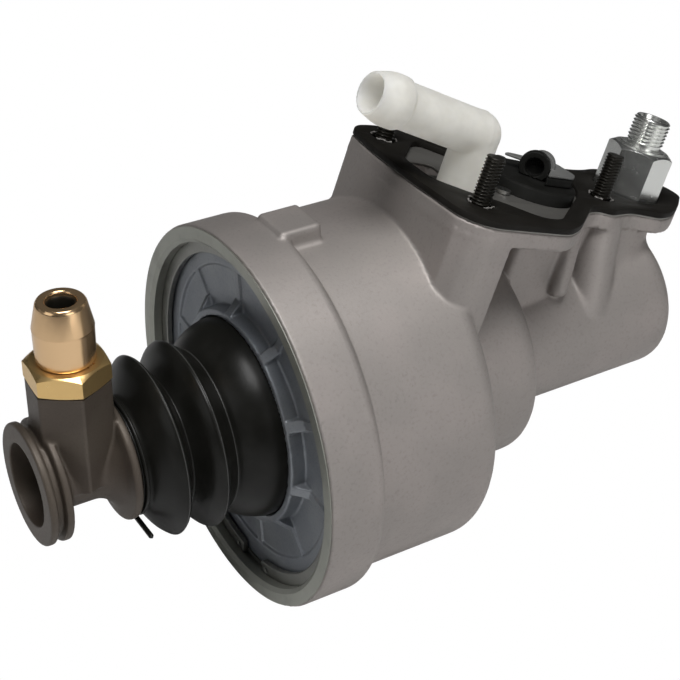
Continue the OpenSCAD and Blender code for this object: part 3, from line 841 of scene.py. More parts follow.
class Graph:
    """The node graph of one material, with a Principled shader at its end."""

    def __init__(self, name: str) -> None:
        """Start an empty material.

        Args:
            name: The material's name.
        """
        self.material = bpy.data.materials.new(name)
        self.material.use_nodes = True
        self.tree = self.material.node_tree
        self.tree.nodes.clear()
        self.out = self.tree.nodes.new("ShaderNodeOutputMaterial")
        self.shader = self.tree.nodes.new("ShaderNodeBsdfPrincipled")
        self.tree.links.new(self.shader.outputs[0], self.out.inputs[0])

    def node(self, kind: str, settings: Optional[dict] = None, inputs: Optional[dict] = None,
             output: object = 0) -> Wire:
        """Add any node.

        Args:
            kind: Blender's node type.
            settings: Attributes to set on it.
            inputs: Values or wires for its inputs, by name or number.
            output: The output to return, by name or number.

        Returns:
            A wire from that output.
        """
        made = self.tree.nodes.new(kind)
        for key, value in (settings or {}).items():
            setattr(made, key, value)
        for key, value in (inputs or {}).items():
            self.feed(made.inputs[key], value)
        return Wire(self, made.outputs[output])

    def feed(self, socket: bpy.types.NodeSocket, value: object) -> None:
        """Link a wire to an input, or set a constant on it.

        Args:
            socket: The input.
            value: A wire, a number or a colour.
        """
        if isinstance(value, Wire):
            self.tree.links.new(value.socket, socket)
        elif isinstance(value, (int, float)):
            socket.default_value = value
        else:
            wanted = len(socket.default_value)
            socket.default_value = (tuple(value) + (1.0,))[:wanted]

    def place(self) -> Wire:
        """Object coordinates, which are the row frame in metres."""
        return self.node("ShaderNodeTexCoord", output="Object")

    def noise(self, size_mm: float, detail: float = 4.0, stretch: Sequence[float] = (1, 1, 1),
              roughness: float = 0.55) -> Wire:
        """Even noise between about 0 and 1.

        Args:
            size_mm: Size of its largest forms.
            detail: Octaves of finer forms.
            stretch: How much longer the forms are along X, Y and Z.
            roughness: Strength of the finer forms.

        Returns:
            The noise.
        """
        at = self.node("ShaderNodeMapping", inputs={
            "Vector": self.place(), "Scale": tuple(1.0 / s for s in stretch)})
        return self.node("ShaderNodeTexNoise", inputs={
            "Vector": at, "Scale": 1000.0 / size_mm, "Detail": detail, "Roughness": roughness})

    def mix(self, first: object, second: object, factor: object) -> Wire:
        """A colour between two."""
        return self.node("ShaderNodeMix", {"data_type": "RGBA"},
                         {0: factor, 6: first, 7: second}, 2)

    def bump(self, height: Wire, depth_mm: float) -> Wire:
        """A normal that follows a height."""
        return self.node("ShaderNodeBump", inputs={
            "Strength": 1.0, "Distance": depth_mm * MM, "Height": height})

    def set(self, **values: object) -> None:
        """Feed the Principled shader's inputs."""
        for key, value in values.items():
            self.feed(self.shader.inputs[key.replace("_", " ")], value)


@dataclass(frozen=True)
class CastMetal:
    """Sand-cast or die-cast metal: fine grain, cloudy tone and some pits.

    Attributes:
        name: The material's name.
        tone: Main colour.
        cloud: Colour of the cloudy patches.
        grain_mm: Size of the grain.
        depth_mm: Depth of the grain.
        roughness: Mean roughness.
        metallic: How metallic it is.
    """

    name: str
    tone: tuple
    cloud: tuple
    grain_mm: float = 0.9
    depth_mm: float = 0.05
    roughness: float = 0.55
    metallic: float = 0.55

    def make(self) -> bpy.types.Material:
        """Build the material.

        Returns:
            The finished material.
        """
        g = Graph(self.name)
        cloud = g.noise(26.0, 3.0).between(0.38, 0.68)
        speck = g.noise(self.grain_mm * 1.4, 2.0)
        fine = g.noise(self.grain_mm, 5.0, roughness=0.7)
        tone = g.mix(self.tone, self.cloud, cloud)
        dark = tuple(c * 0.72 for c in self.tone)
        tone = g.mix(tone, dark, speck.between(0.52, 0.78) * 0.35)
        pits = g.noise(7.0, 1.0).between(0.2, 0.24)
        g.set(Base_Color=tone, Metallic=self.metallic,
              Roughness=self.roughness + (speck - 0.5) * 0.18,
              Normal=g.bump(fine + pits * 0.6, self.depth_mm))
        return g.material


@dataclass(frozen=True)
class Machined:
    """Turned or milled metal with fine tool marks.

    Attributes:
        name: The material's name.
        tone: Main colour.
        roughness: Mean roughness.
        marks: Stretch of the tool marks along X, Y and Z.
        metallic: How metallic it is.
        depth_mm: Depth of the marks.
        stain: How strong the darker stains are.
    """

    name: str
    tone: tuple
    roughness: float = 0.3
    marks: tuple = (1.0, 1.0, 1.0)
    metallic: float = 1.0
    depth_mm: float = 0.01
    stain: float = 0.25

    def make(self) -> bpy.types.Material:
        """Build the material.

        Returns:
            The finished material.
        """
        g = Graph(self.name)
        marks = g.noise(1.2, 4.0, self.marks)
        cloud = g.noise(9.0, 3.0)
        dark = tuple(c * 0.6 for c in self.tone)
        g.set(Base_Color=g.mix(self.tone, dark, cloud.between(0.45, 0.8) * self.stain),
              Metallic=self.metallic,
              Roughness=self.roughness + (marks - 0.5) * 0.14 + (cloud - 0.5) * 0.1,
              Normal=g.bump(marks, self.depth_mm))
        return g.material


@dataclass(frozen=True)
class Moulded:
    """Rubber or plastic with a faint skin texture.

    Attributes:
        name: The material's name.
        tone: Main colour.
        roughness: Mean roughness.
        grain_mm: Size of the skin texture.
        depth_mm: Its depth.
        glow: Share of light that passes through the skin.
        shine: Strength of the plain reflection, 0.5 for common plastic.
        painted_glow: Painted glow, faint own light standing for light led through the wall.
    """

    name: str
    tone: tuple
    roughness: float = 0.45
    grain_mm: float = 0.8
    depth_mm: float = 0.012
    glow: float = 0.0
    shine: float = 0.5
    painted_glow: float = 0.0

    def make(self) -> bpy.types.Material:
        """Build the material.

        Returns:
            The finished material.
        """
        g = Graph(self.name)
        skin_noise = g.noise(self.grain_mm, 4.0)
        cloud = g.noise(14.0, 3.0)
        pale = tuple(min(1.0, c * 1.25 + 0.004) for c in self.tone)
        g.set(Base_Color=g.mix(self.tone, pale, cloud.between(0.35, 0.75)),
              Roughness=self.roughness + (cloud - 0.5) * 0.16,
              Normal=g.bump(skin_noise, self.depth_mm), Specular_IOR_Level=self.shine)
        # The emission below is a painted glow that stands for light led through the wall
        if self.glow:
            g.set(Subsurface_Weight=self.glow, Subsurface_Radius=(1.0, 0.95, 0.85),
                  Subsurface_Scale=0.012, Emission_Color=(1.0, 0.985, 0.93),
                  Emission_Strength=self.painted_glow)
        return g.material


class Finish(Enum):
    """Every finish of the object, as the photograph shows it."""

    CAST = CastMetal("cast_housing", (0.353, 0.324, 0.306), (0.385, 0.348, 0.330))
    COVER = CastMetal("cast_cover", (0.235, 0.252, 0.278), (0.290, 0.305, 0.325), 0.7, 0.03,
                      0.46, 0.6)
    MILLED = Machined("milled_face", (0.30, 0.29, 0.27), 0.42, (6, 1, 1), 0.75, 0.012, 0.3)
    TURNED = Machined("turned_face", (0.36, 0.365, 0.325), 0.44, (1, 1, 1), 0.7, 0.012, 0.35)
    STEEL = Machined("plain_steel", (0.45, 0.45, 0.44), 0.32, (1, 4, 4))
    RING = Machined("spring_steel", (0.26, 0.26, 0.24), 0.38, (1, 1, 1), 0.85)
    ZINC = Machined("zinc_plate", (0.90, 0.91, 0.88), 0.24, (1, 1, 2), 0.95, 0.0008, 0.03)
    BRASS = Machined("turned_brass", (0.84, 0.57, 0.24), 0.30, (1, 1, 1), 0.9, 0.006, 0.10)
    BRONZE = Machined("turned_bronze", (0.88, 0.60, 0.34), 0.20, (1, 1, 4), 0.9, 0.001, 0.05)
    COPPER = Machined("copper_ring", (0.62, 0.33, 0.20), 0.34)
    HEAD = CastMetal("phosphated_head", (0.084, 0.066, 0.052), (0.100, 0.081, 0.063), 0.5, 0.02,
                     0.50, 0.35)
    STUD = Machined("black_oxide", (0.017, 0.015, 0.011), 0.38, (1, 1, 1), 0.5, 0.01, 0.3)
    GASKET = Moulded("gasket", (0.008, 0.007, 0.0055), 0.62, 0.6, 0.02, shine=0.15)
    RUBBER = Moulded("boot_rubber", (0.0085, 0.0083, 0.0070), 0.34, 1.2, 0.010, shine=0.22)
    # The boot lines' lighter tone is a painted highlight for the light that thin ridges catch
    RUBBER_LINE = Moulded("boot_lines_painted_highlight", (0.045, 0.045, 0.043), 0.35, 1.2, 0.004)
    # The milky nylon's own light is a painted glow
    NYLON = Moulded("milky_nylon", (0.52, 0.51, 0.475), 0.55, 1.5, 0.002, 1.0, painted_glow=0.13)
    BLACK_PLASTIC = Moulded("black_plastic", (0.008, 0.008, 0.007), 0.55, 0.7, 0.012, shine=0.14)
    GREY_PLASTIC = Moulded("grey_plastic", (0.14, 0.14, 0.135), 0.5, 0.7, 0.010, shine=0.3)
    BURR = Moulded("pale_stud_bits", (0.20, 0.19, 0.18), 0.5, 0.6, 0.02)
    MAGNET = Machined("magnet_steel", (0.14, 0.14, 0.15), 0.4)

    def material(self) -> bpy.types.Material:
        """The finished material, made on first use."""
        known = bpy.data.materials.get(self.value.name)
        return known if known is not None else self.value.make()


# ---------------------------------------------------------------- pieces

@dataclass
class Housing:
    """The cast body with its machined front ring and flange face.

    Attributes:
        rim_r: Outside radius of the front rim.
        rim_back: Station of the rim's back.
        drum_r: Radius of the drum.
        step_r: Radius of the second step.
        step_back: Station of the step's back.
        tail_r: Radius of the rear cylinder.
        tail_back: Station of the rear end.
        seat_r: Radius of the cover's seat.
        seat_back: Station of the cover's seat.
        core_top: Height at which the walls under the flange end.
        tower_low: Height from which the tower rises.
        tail_low: Height from which the tail's walls rise.
        lip_t: Thickness of the flange's lip.
        column_r: Radius of the column under the rear stud.
        column_lean: Lean of that column, in degrees.
        wall_lean: Lean of the rib and the groove on the tower's side, in degrees.
        far_end: Station behind the flange's tail, where the mesh's grid starts.
        step: Cell size of the casting's mesh.
    """

    rim_r: float = 75.0
    rim_back: float = -22.6
    drum_r: float = 69.9
    step_r: float = 46.0
    step_back: float = -112.0
    tail_r: float = 30.8
    tail_back: float = -192.5
    seat_r: float = 68.0
    seat_back: float = -17.0
    core_top: float = FLANGE_H - 4.0
    tower_low: float = 15.0
    tail_low: float = 35.0
    lip_t: float = 7.0
    column_r: float = 8.9
    column_lean: float = 14.0
    wall_lean: float = 9.0
    far_end: float = -228.4
    step: float = 1.45

    def outside(self) -> Solid:
        """Cast outside form with fillets where its parts meet.

        Returns:
            The solid, without its bores and holes.
        """
        turned_line = traced((
            (-0.5, -6, 0.1), (-0.5, self.rim_r, 0.7), (self.rim_back, self.rim_r, 3.2),
            (self.rim_back - 0.3, self.drum_r, 1.6), (DRUM_BACK, self.drum_r, 5.6),
            (DRUM_BACK, self.step_r, 3.5), (self.step_back, self.step_r, 6.4),
            (self.step_back, self.tail_r, 3.0), (self.tail_back, self.tail_r, 7.0),
            (self.tail_back, -6, 0.1)), 0.4)
        form = turned_form(turned_line, MAIN)
        tower = prism(Outline(TOWER_LINE), FLANGE, self.tower_low, self.core_top, 1.0)
        tail = prism(Outline(TAIL_LINE), FLANGE, self.tail_low, self.core_top, 1.0)
        boss = prism(Outline(BOSS_LINE), FLANGE, self.tail_low, self.core_top, 1.0)
        lip = prism(Outline(FLANGE_LINE), FLANGE, FLANGE_H - self.lip_t, FLANGE_H - 0.5, 0.9)
        under_stud = leaning(STUD_AT[2][0] - 0.9, STUD_AT[2][1] + 2.4, self.column_lean)
        column = rod(under_stud, self.column_r, -46.0, -2.0, 3.0, 1.0)
        pad = block(ROW, (-36.0, -12.0, 60.0), (-19.4, 6.4, 76.6), 1.4)
        form = form.join(tower, 1.0).join(tail, 3.0).join(boss, 4.0).join(column, 1.2)
        groove = rod(leaning(-41.0, 25.6, self.wall_lean), 5.6, -40.0, -8.0)
        rib = rod(leaning(-47.6, 16.2, self.wall_lean), 4.2, -36.0, 2.0, 3.6)
        slot = block(FLANGE.moved(-52.2, 10.0), (-0.9, 0.0, FLANGE_H - 34.0),
                     (0.9, 12.0, FLANGE_H - 7.5), 0.5)
        form = form.join(pad, 2.0).cut(groove, 3.0).join(rib, 2.0).cut(slot, 0.8)
        return form.join(lip, 0.5)

    def inside(self) -> Solid:
        """Bores along the main axis and the holes in the flange.

        Returns:
            The solid to cut away.
        """
        bore_line = traced((
            (6, -6, 0.1), (6, self.seat_r + 2.05, 0.1),
            (self.seat_back - 0.2, self.seat_r + 2.05, 0.6), (self.seat_back - 0.2, 62.5, 0.8),
            (-68, 62.5, 2.0), (-68, 38.5, 1.0), (-105, 38.5, 2.0), (-105, 22.5, 1.0),
            (-184.2, 22.5, 2.0), (-184.2, -6, 0.1)), 0.4)
        form = turned_form(bore_line, MAIN)
        half, over = PORT_W / 2 + 0.2, FLANGE_H + 3.0
        form |= block(FLANGE.moved(*PORT_AT), (-half, -half, FLANGE_H - 15),
                      (half, half, over), 1.2)
        vent = (ELBOW_AT[0], ELBOW_AT[1] - 3.0)
        form |= rod(FLANGE.moved(*vent), 4.0, FLANGE_H - 46, FLANGE_H - 6)
        form |= rod(FLANGE.moved(*FITTING_AT), 14.2, FLANGE_H - 1.5, over, 0.2)
        for at, radius, depth in ((VALVE_AT, 19.3, 13.0), (ELBOW_AT, 8.2, 9.0),
                                  (FITTING_AT, 7.2, 16.0), (PLUNGER_AT, 3.2, 11.0),
                                  (BUSHING_AT, 2.6, 8.0), *((at, 4.4, 14.0) for at in STUD_AT)):
            form |= rod(FLANGE.moved(*at), radius, FLANGE_H - depth, over)
        return form

    def make(self) -> None:
        """Build the housing's pieces."""
        casting = self.outside().cut(self.inside(), 1.2)
        shape = skin(casting, (self.far_end, -79, -79), (3, 79, 90), self.step)
        build("housing_casting", shape, Finish.CAST, "housing")
        ring = np.array([
            (self.seat_back, 69.9), (-0.55, 69.9), (-0.55, 74.0), (-0.3, 74.25), (0.0, 74.25),
            (0.0, 69.7), (-1.2, 68.1), (-4.5, 68.0), (-4.5, 69.6), (-7.2, 69.6), (-7.2, 68.0),
            (self.seat_back, 68.0)])[::-1]
        build("housing_front_ring", revolve(MAIN, ring, 256), Finish.TURNED, "housing",
              20)
        holes = [circle(at, 4.25) for at in STUD_AT]
        holes += [circle(VALVE_AT, 19.3, 128), circle(FITTING_AT, 14.0, 96),
                  circle(ELBOW_AT, 8.05), circle(BUSHING_AT, 2.2, 32),
                  circle(PLUNGER_AT, 1.97, 32)]
        half = PORT_W / 2
        port = rounded([(PORT_AT[0] + a * half, PORT_AT[1] + b * half, 3.0)
                        for a, b in ((-1, -1), (1, -1), (1, 1), (-1, 1))])
        centre = FLANGE_LINE.mean(axis=0)
        inset = FLANGE_LINE + (centre - FLANGE_LINE) * 0.012
        build("housing_flange_face", plate(FLANGE, inset, holes + [port], FLANGE_H - 0.7,
                                           FLANGE_H - 0.02, 0.12),
              Finish.MILLED, "housing")


@dataclass
class Gasket:
    """The black gasket on the flange."""

    thickness: float = GASKET_T

    def make(self) -> None:
        """Build the gasket."""
        holes = [WINDOW_LINE, circle(FITTING_AT, 14.4, 96)]
        holes += [circle(at, 4.6) for at in STUD_AT]
        build("gasket", plate(FLANGE, FLANGE_LINE, holes, FLANGE_H + 0.02,
                              FLANGE_H + self.thickness, 0.35),
              Finish.GASKET, "flange_gasket")


@dataclass
class Studs:
    """Three M8 studs with real threads."""

    radius: float = 4.0
    pitch: float = 1.25
    top: float = FLANGE_H + GASKET_T + 18.0 - 1.0

    def make(self) -> None:
        """Build the studs in one piece."""
        parts = []
        for at in STUD_AT:
            place = FLANGE.moved(*at)
            shank = np.array([(FLANGE_H - 13, 0.4), (FLANGE_H - 13, 3.6), (FLANGE_H - 12.6, 4.0),
                              (FLANGE_H + 0.6, 4.0), (FLANGE_H + 1.0, 3.3), (FLANGE_H + 2.4, 3.3),
                              (FLANGE_H + 2.4, 0.4)])
            parts.append(revolve(place, shank, 48, closed=False))
            thread = Thread(self.radius, self.pitch, FLANGE_H + 2.0, self.top + 1.0)
            parts.append(ring_stack(place.turned("Z", 70).row(thread.rings()), closed=False))
        cuff = FLANGE.moved(z=FLANGE_H + GASKET_T + 0.25)
        # Pale bits in broken arcs round each stud's base, on the gasket
        pale_bits = []
        for k, at in enumerate(STUD_AT):
            for start, sweep in ((20, 70), (150, 95), (285, 40)):
                angle = np.radians(np.linspace(start, start + sweep, 14) + 47 * k)
                reach = 5.0 + 0.35 * np.sin(angle * 5 + k)
                path = np.stack([at[0] + reach * np.cos(angle), at[1] + reach * np.sin(angle),
                                 0.15 * np.sin(angle * 9)], axis=-1)
                pale_bits.append(tube(cuff.row(path), 0.3 + 0.12 * np.sin(angle * 13 + k), 8))
        build("stud_base_pale_bits", merged(pale_bits), Finish.BURR, sharp=60)
        build("stud_threads", merged(parts), Finish.STUD, "mounting_studs", 40)


@dataclass
class Elbow:
    """The white vent elbow with its beaded mouth."""

    radius: float = 8.8
    bore: float = 6.0
    rise: float = 19.0
    reach: float = 52.5
    upward: float = 9.0
    turn: float = -3.0

    def make(self) -> None:
        """Build the elbow."""
        foot = FLANGE.moved(ELBOW_AT[0], ELBOW_AT[1], FLANGE_H + 0.3)
        leg = self.rise + GASKET_T - 0.3
        bend = foot.moved(z=leg)
        outlet = bend.turned("Z", self.turn).turned("Y", 90 - self.upward)
        bead = traced((
            (0, -8, 0.1), (0, self.radius, 0.1), (self.reach - 14.2, self.radius, 0.4),
            (self.reach - 13.6, self.radius + 1.1, 0.5),
            (self.reach - 7.5, self.radius + 1.25, 3.0), (self.reach, self.radius - 1.1, 0.8),
            (self.reach, -8, 0.1)))
        form = rod(foot, self.radius - 0.1, -0.2, leg, 0.1) | ball(bend, self.radius)
        form = form.join(turned_form(bead, outlet), 1.0)
        form |= rod(foot, self.radius - 1.1, -7.8, 1.0, 0.2)
        mouth = traced((
            (self.reach - 12, -8, 0.1), (self.reach - 12, self.bore + 0.5, 0.3),
            (self.reach - 1.2, self.bore + 0.7, 0.5), (self.reach + 0.5, self.bore + 1.4, 0.3),
            (self.reach + 4, -8, 0.1)))
        form = form.cut(turned_form(mouth, outlet), 0.5)
        form = form.cut(rod(outlet, self.bore, -2.5, self.reach + 2, 0.1), 0.3)
        form = form.cut(rod(foot, self.bore - 0.4, -10, leg, 0.1), 0.3)
        corner = foot.row(np.array([[-11, -12, -10], [self.reach + 2, 12, leg + 22]]))
        low = corner.min(axis=0) - 14
        high = corner.max(axis=0) + 14
        build("vent_elbow", skin(form, low, high, 0.75), Finish.NYLON, "exhaust_elbow")


def hexagon(flats: float, angle: np.ndarray, turn: float) -> np.ndarray:
    """Radius of a hexagon in each direction."""
    from_flat = (angle - math.radians(turn)) % (TAU / 6) - TAU / 12
    return flats / 2 / np.cos(from_flat)


def hex_angles(turn: float, fine: int = 10) -> np.ndarray:
    """Directions for a hexagon's rings, with close pairs at its corners.

    Args:
        turn: Direction of a corner, in degrees.
        fine: Directions on each flat.

    Returns:
        Directions in radians, in rising order.
    """
    side = TAU / 6
    flat = np.concatenate([[0.0], np.linspace(0.012, side - 0.012, fine)])
    return math.radians(turn) + (np.arange(6)[:, None] * side + flat[None, :]).ravel()


def hex_body(place: Place, flats: float, turn: float, low: float, high: float, bore: float,
             top_slope: float = 0.55, bottom_slope: float = 0.0) -> Shape:
    """A hexagonal body with a bore and turned chamfers on its corners.

    Args:
        place: Where it stands, along z.
        flats: Size across flats.
        turn: Direction of a corner, in degrees.
        low: Lower face.
        high: Upper face.
        bore: Radius of the bore.
        top_slope: Drop of the upper chamfer for each millimetre of radius.
        bottom_slope: The same for the lower chamfer.

    Returns:
        The closed mesh.
    """
    angle = hex_angles(turn)
    side = hexagon(flats, angle, turn)
    face = flats / 2 - 0.6
    upper = high - np.maximum(side - face, 0.0) * top_slope
    lower = low + np.maximum(side - face, 0.0) * bottom_slope
    fine = 0.12
    rings = [(low, bore), (low, face), (lower, side - fine), (lower + fine, side),
             (upper - fine, side), (upper, side - fine), (high, face), (high, bore + 0.3),
             (high - 0.3, bore)]
    local = np.stack([polar(r, angle, z) for z, r in rings])
    return ring_stack(place.row(local), closed=True)


@dataclass
class AirFitting:
    """The zinc-plated air fitting: hexagon, undercut and M16 thread."""

    flats: float = 24.0
    turn: float = 10.0
    base: float = FLANGE_H - 0.3
    hex_top: float = 22.0
    pitch: float = 1.5
    top: float = 34.9
    bore: float = 4.0

    def make(self) -> None:
        """Build the fitting."""
        place = FLANGE.moved(FITTING_AT[0], FITTING_AT[1], self.base)
        skirt = np.array([(-14, self.bore), (-14, 6.4), (-13.6, 6.7), (0.0, 6.7), (0.0, 10.8),
                          (0.2, 11.0), (1.2, 11.0), (1.2, self.bore)])
        collar = np.array([(-0.1, self.bore), (-0.1, 9.6), (0.5, 9.6), (0.7, 9.3), (0.7, 6.9),
                           (3.0, 6.9), (3.0, self.bore)]) + (self.hex_top, 0.0)
        shape = revolve(place, skirt, 72) + revolve(place, collar, 96)
        shape += hex_body(place, self.flats, self.turn, 1.0, self.hex_top, self.bore, 0.62, 0.3)
        thread = Thread(8.0, self.pitch, self.hex_top + 2.2, self.top, tip=1.2,
                        drop=1.3 / self.pitch, runout=0.8, around=120, steps=14)
        mouth_z = self.top - np.array([0.0, 0.2, 4.5, 8.0, self.top - thread.low])
        mouth_r = np.array([6.35, 6.1, 4.7, self.bore, self.bore])
        mouth = polar(mouth_r[:, None], full_turn(thread.around), mouth_z[:, None])
        rings = np.concatenate([thread.rings(), mouth])
        shape += ring_stack(place.row(rings), closed=True)
        build("air_union", shape, Finish.ZINC, "air_fitting", 30)


@dataclass
class Valve:
    """The control valve in the flange window: cap, block, insert and plunger."""

    radius: float = 18.8
    cap_top: float = FLANGE_H + 5.2
    block_t: float = 3.2
    tongue_t: float = 1.0
    port_rise: float = 4.0
    port_turn: float = 45.0
    port_r: float = 6.2
    port_in_r: float = 3.7
    barrel_r: float = 5.6
    barrel_side: float = 2.1

    def make(self) -> None:
        """Build the valve's pieces."""
        place = FLANGE.moved(*VALVE_AT)
        r, low, top = self.radius, FLANGE_H - 11.0, self.cap_top
        cap = np.array([
            (low + 6, r - 4), (low, r - 4), (low, r - 0.5), (low + 0.5, r), (top - 1.0, r),
            (top - 0.5, r - 0.25), (top, r - 1.1), (top, 0.5), (low + 6, 0.5)])
        build("valve_cap_body", revolve(place, cap, 160), Finish.BLACK_PLASTIC, "valve_cap",
              28)
        seat = place.moved(z=top + 0.3)
        port = seat.moved(z=self.port_rise).turned("Z", self.port_turn).turned("Y", 90)
        base = traced((
            (-16, -5, 2), (-4, -8, 2), (3.5, -2.5, 1), (-3.6, 4.6, 0.5), (2.4, 11, 1),
            (-12, 11, 2), (-16, 7, 2)))
        form = prism(base, seat, 0.0, self.block_t, 0.35)
        collar = rod(port, self.port_r, -1.0, 3.5, 0.5) & block(
            seat, (-30, -30, 0), (30, 30, 30), 0.1)
        form = form.join(collar, 0.5).cut(rod(port, self.port_in_r, -0.4, 8, 0.2), 0.5)
        spot = seat.origin
        build("valve_port_block", skin(form, spot - 21, spot + 21, 0.45),
              Finish.BLACK_PLASTIC, "valve_block")
        # The thin grey tongue over the black block is painted light: it gives the block's top
        # face the lit tone that overhead light shows
        under = self.block_t + 0.3
        tongue = traced((
            (-15.8, -4.8, 2), (-8, -7.5, 1), (5, -11.5, 1), (8.2, -10.2, 1), (-0.5, -2, 0.5),
            (-5.6, 3.4, 0.5), (1.9, 10.8, 1), (-12, 10.8, 2), (-15.8, 6.9, 2)))
        form = prism(tongue, seat, under, under + self.tongue_t, 0.25)
        barrel = rod(port.moved(y=self.barrel_side), self.barrel_r, -7.5, -1.4, 0.5) & block(
            seat, (-30, -30, under), (30, 30, 30), 0.1)
        form = form.join(barrel, 0.4)
        build("valve_insert_painted_top", skin(form, spot - 21, spot + 21, 0.45),
              Finish.GREY_PLASTIC, "valve_barrel")
        plunger = FLANGE.moved(PLUNGER_AT[0], PLUNGER_AT[1], FLANGE_H - 6)
        form = rod(plunger, 1.9, 0, 9.5, 0.3).join(
            block(plunger, (-2.6, -2.6, 8.4), (2.6, 2.6, 12.0), 0.5), 0.6)
        spot = plunger.moved(z=6).origin
        build("valve_plunger_body", skin(form, spot - 9, spot + 9, 0.3), Finish.STEEL,
              "valve_plunger", body="valve_plunger")


@dataclass
class Cover:
    """The die-cast front cover with its ten ribs and their webs."""

    radius: float = 67.7
    back: float = -16.7
    rim_front: float = -7.5
    plate_front: float = -8.6
    plate_back: float = -12.4
    pocket_r: float = 58.0
    hub_r: float = 42.2
    hub_in: float = 39.3
    hub_front: float = -2.7
    ribs: int = 10
    rib_w: float = 3.6
    web_w: float = 4.6
    web_run: float = 5.0
    rib_top: float = -7.8
    rib_turn: float = 7.4

    def rib(self, p: np.ndarray) -> np.ndarray:
        """Distance to the ribs and webs, folded round the axis.

        Args:
            p: Points in the row frame.

        Returns:
            Signed distances.
        """
        x, radius = p[..., 0], np.hypot(p[..., 1], p[..., 2])
        pitch = TAU / self.ribs
        # The CAD turns its ribs from the -Z direction towards +Y
        angle = np.arctan2(p[..., 1], -p[..., 2]) - math.radians(self.rib_turn)
        side = np.abs((angle + pitch / 2) % pitch - pitch / 2) * radius
        inner = self.hub_r - 1.5
        long = between_ends(radius, inner, self.pocket_r + 0.5)
        low = boxed(boxed(side - self.rib_w / 2, x - self.rib_top, 0.35), long, 0.1)
        reach = self.hub_r + self.web_run
        # The web's top falls at 45 degrees, so x + radius is even along it
        fall = 0.707
        ramp = np.maximum(x - self.hub_front + 0.2 + radius - self.hub_r - 0.1, 0.0) * fall
        ramp = np.where(x + radius < self.hub_front + self.hub_r - 0.1,
                        (x - self.hub_front + 0.1 + radius - self.hub_r) * fall, ramp)
        web = boxed(side - self.web_w / 2, np.maximum(ramp, x - self.hub_front + 0.2), 0.4)
        web = boxed(web, np.maximum(radius - reach, inner - radius), 0.1)
        return np.where(radius < 30, 10.0, np.maximum(np.minimum(low, web), -x - 11.0))

    def make(self) -> None:
        """Build the cover."""
        front, pocket = self.plate_front, self.pocket_r
        line = traced((
            (self.back, 16.3, 0.2), (self.back, 25.0, 0.4), (self.plate_back, 25.4, 0.8),
            (self.plate_back, 55.6, 0.8), (self.back, 56.0, 0.4), (self.back, self.radius, 0.4),
            (-14.2, self.radius, 0.2), (-14.2, self.radius - 2.8, 0.2),
            (-10.6, self.radius - 2.8, 0.2), (-10.6, self.radius, 0.2),
            (self.rim_front, self.radius, 0.7), (self.rim_front, pocket + 0.3, 0.4),
            (front, pocket - 0.3, 0.5), (front, self.hub_r + 0.3, 0.8),
            (self.hub_front, self.hub_r, 0.5), (self.hub_front, self.hub_in, 0.3),
            (front - 0.3, self.hub_in, 0.6), (front - 0.3, 22.0, 0.4), (-8.0, 22.0, 0.4),
            (-8.0, 16.3, 0.2)))
        sleeve = traced((
            (-22.5, 16.3, 0.3), (-22.5, 22.0, 0.8), (-12.0, 22.0, 0.3), (-12.0, 16.3, 0.3)))
        form = turned_form(line, MAIN) | turned_form(sleeve, MAIN)
        form = form.join(Solid(self.rib), 0.7)
        shape = skin(form, (-25, -70, -70), (0, 70, 70), 0.9)
        build("front_cover_casting", shape, Finish.COVER, "front_cover")


@dataclass
class SnapRing:
    """The open spring ring in front of the cover, with its two eyes."""

    inner: float = 63.2
    outer: float = 69.2
    back: float = -7.0
    front: float = -4.7
    gap_at: float = 5.8
    gap: float = 13.6
    eye_r: float = 1.1
    eye_turn: float = 3.0

    def distance(self, p: np.ndarray) -> np.ndarray:
        """Distance to the ring, its ends rounded and its eyes open.

        Args:
            p: Points in the row frame.

        Returns:
            Signed distances.
        """
        radius = np.hypot(p[..., 1], p[..., 2])
        # Ring angles start at the -Z direction and run towards +Y
        turn = np.arctan2(p[..., 1], -p[..., 2]) - math.radians(self.gap_at)
        turn = np.abs((turn + math.pi) % TAU - math.pi)
        middle, half = (self.inner + self.outer) / 2, math.radians(self.gap / 2)
        flat = boxed(np.abs(radius - middle) - (self.outer - self.inner) / 2,
                     (half - turn) * radius, 0.9)
        eye = np.hypot(radius - middle, (turn - half - math.radians(self.eye_turn)) * middle)
        flat = np.maximum(flat, self.eye_r - eye)
        return boxed(flat, between_ends(p[..., 0], self.back, self.front), 0.25)

    def make(self) -> None:
        """Build the ring."""
        shape = skin(Solid(self.distance), (self.back - 1, -71, -71), (self.front + 1, 71, 71),
                     0.5)
        build("snap_ring_wire", shape, Finish.RING, "snap_ring")


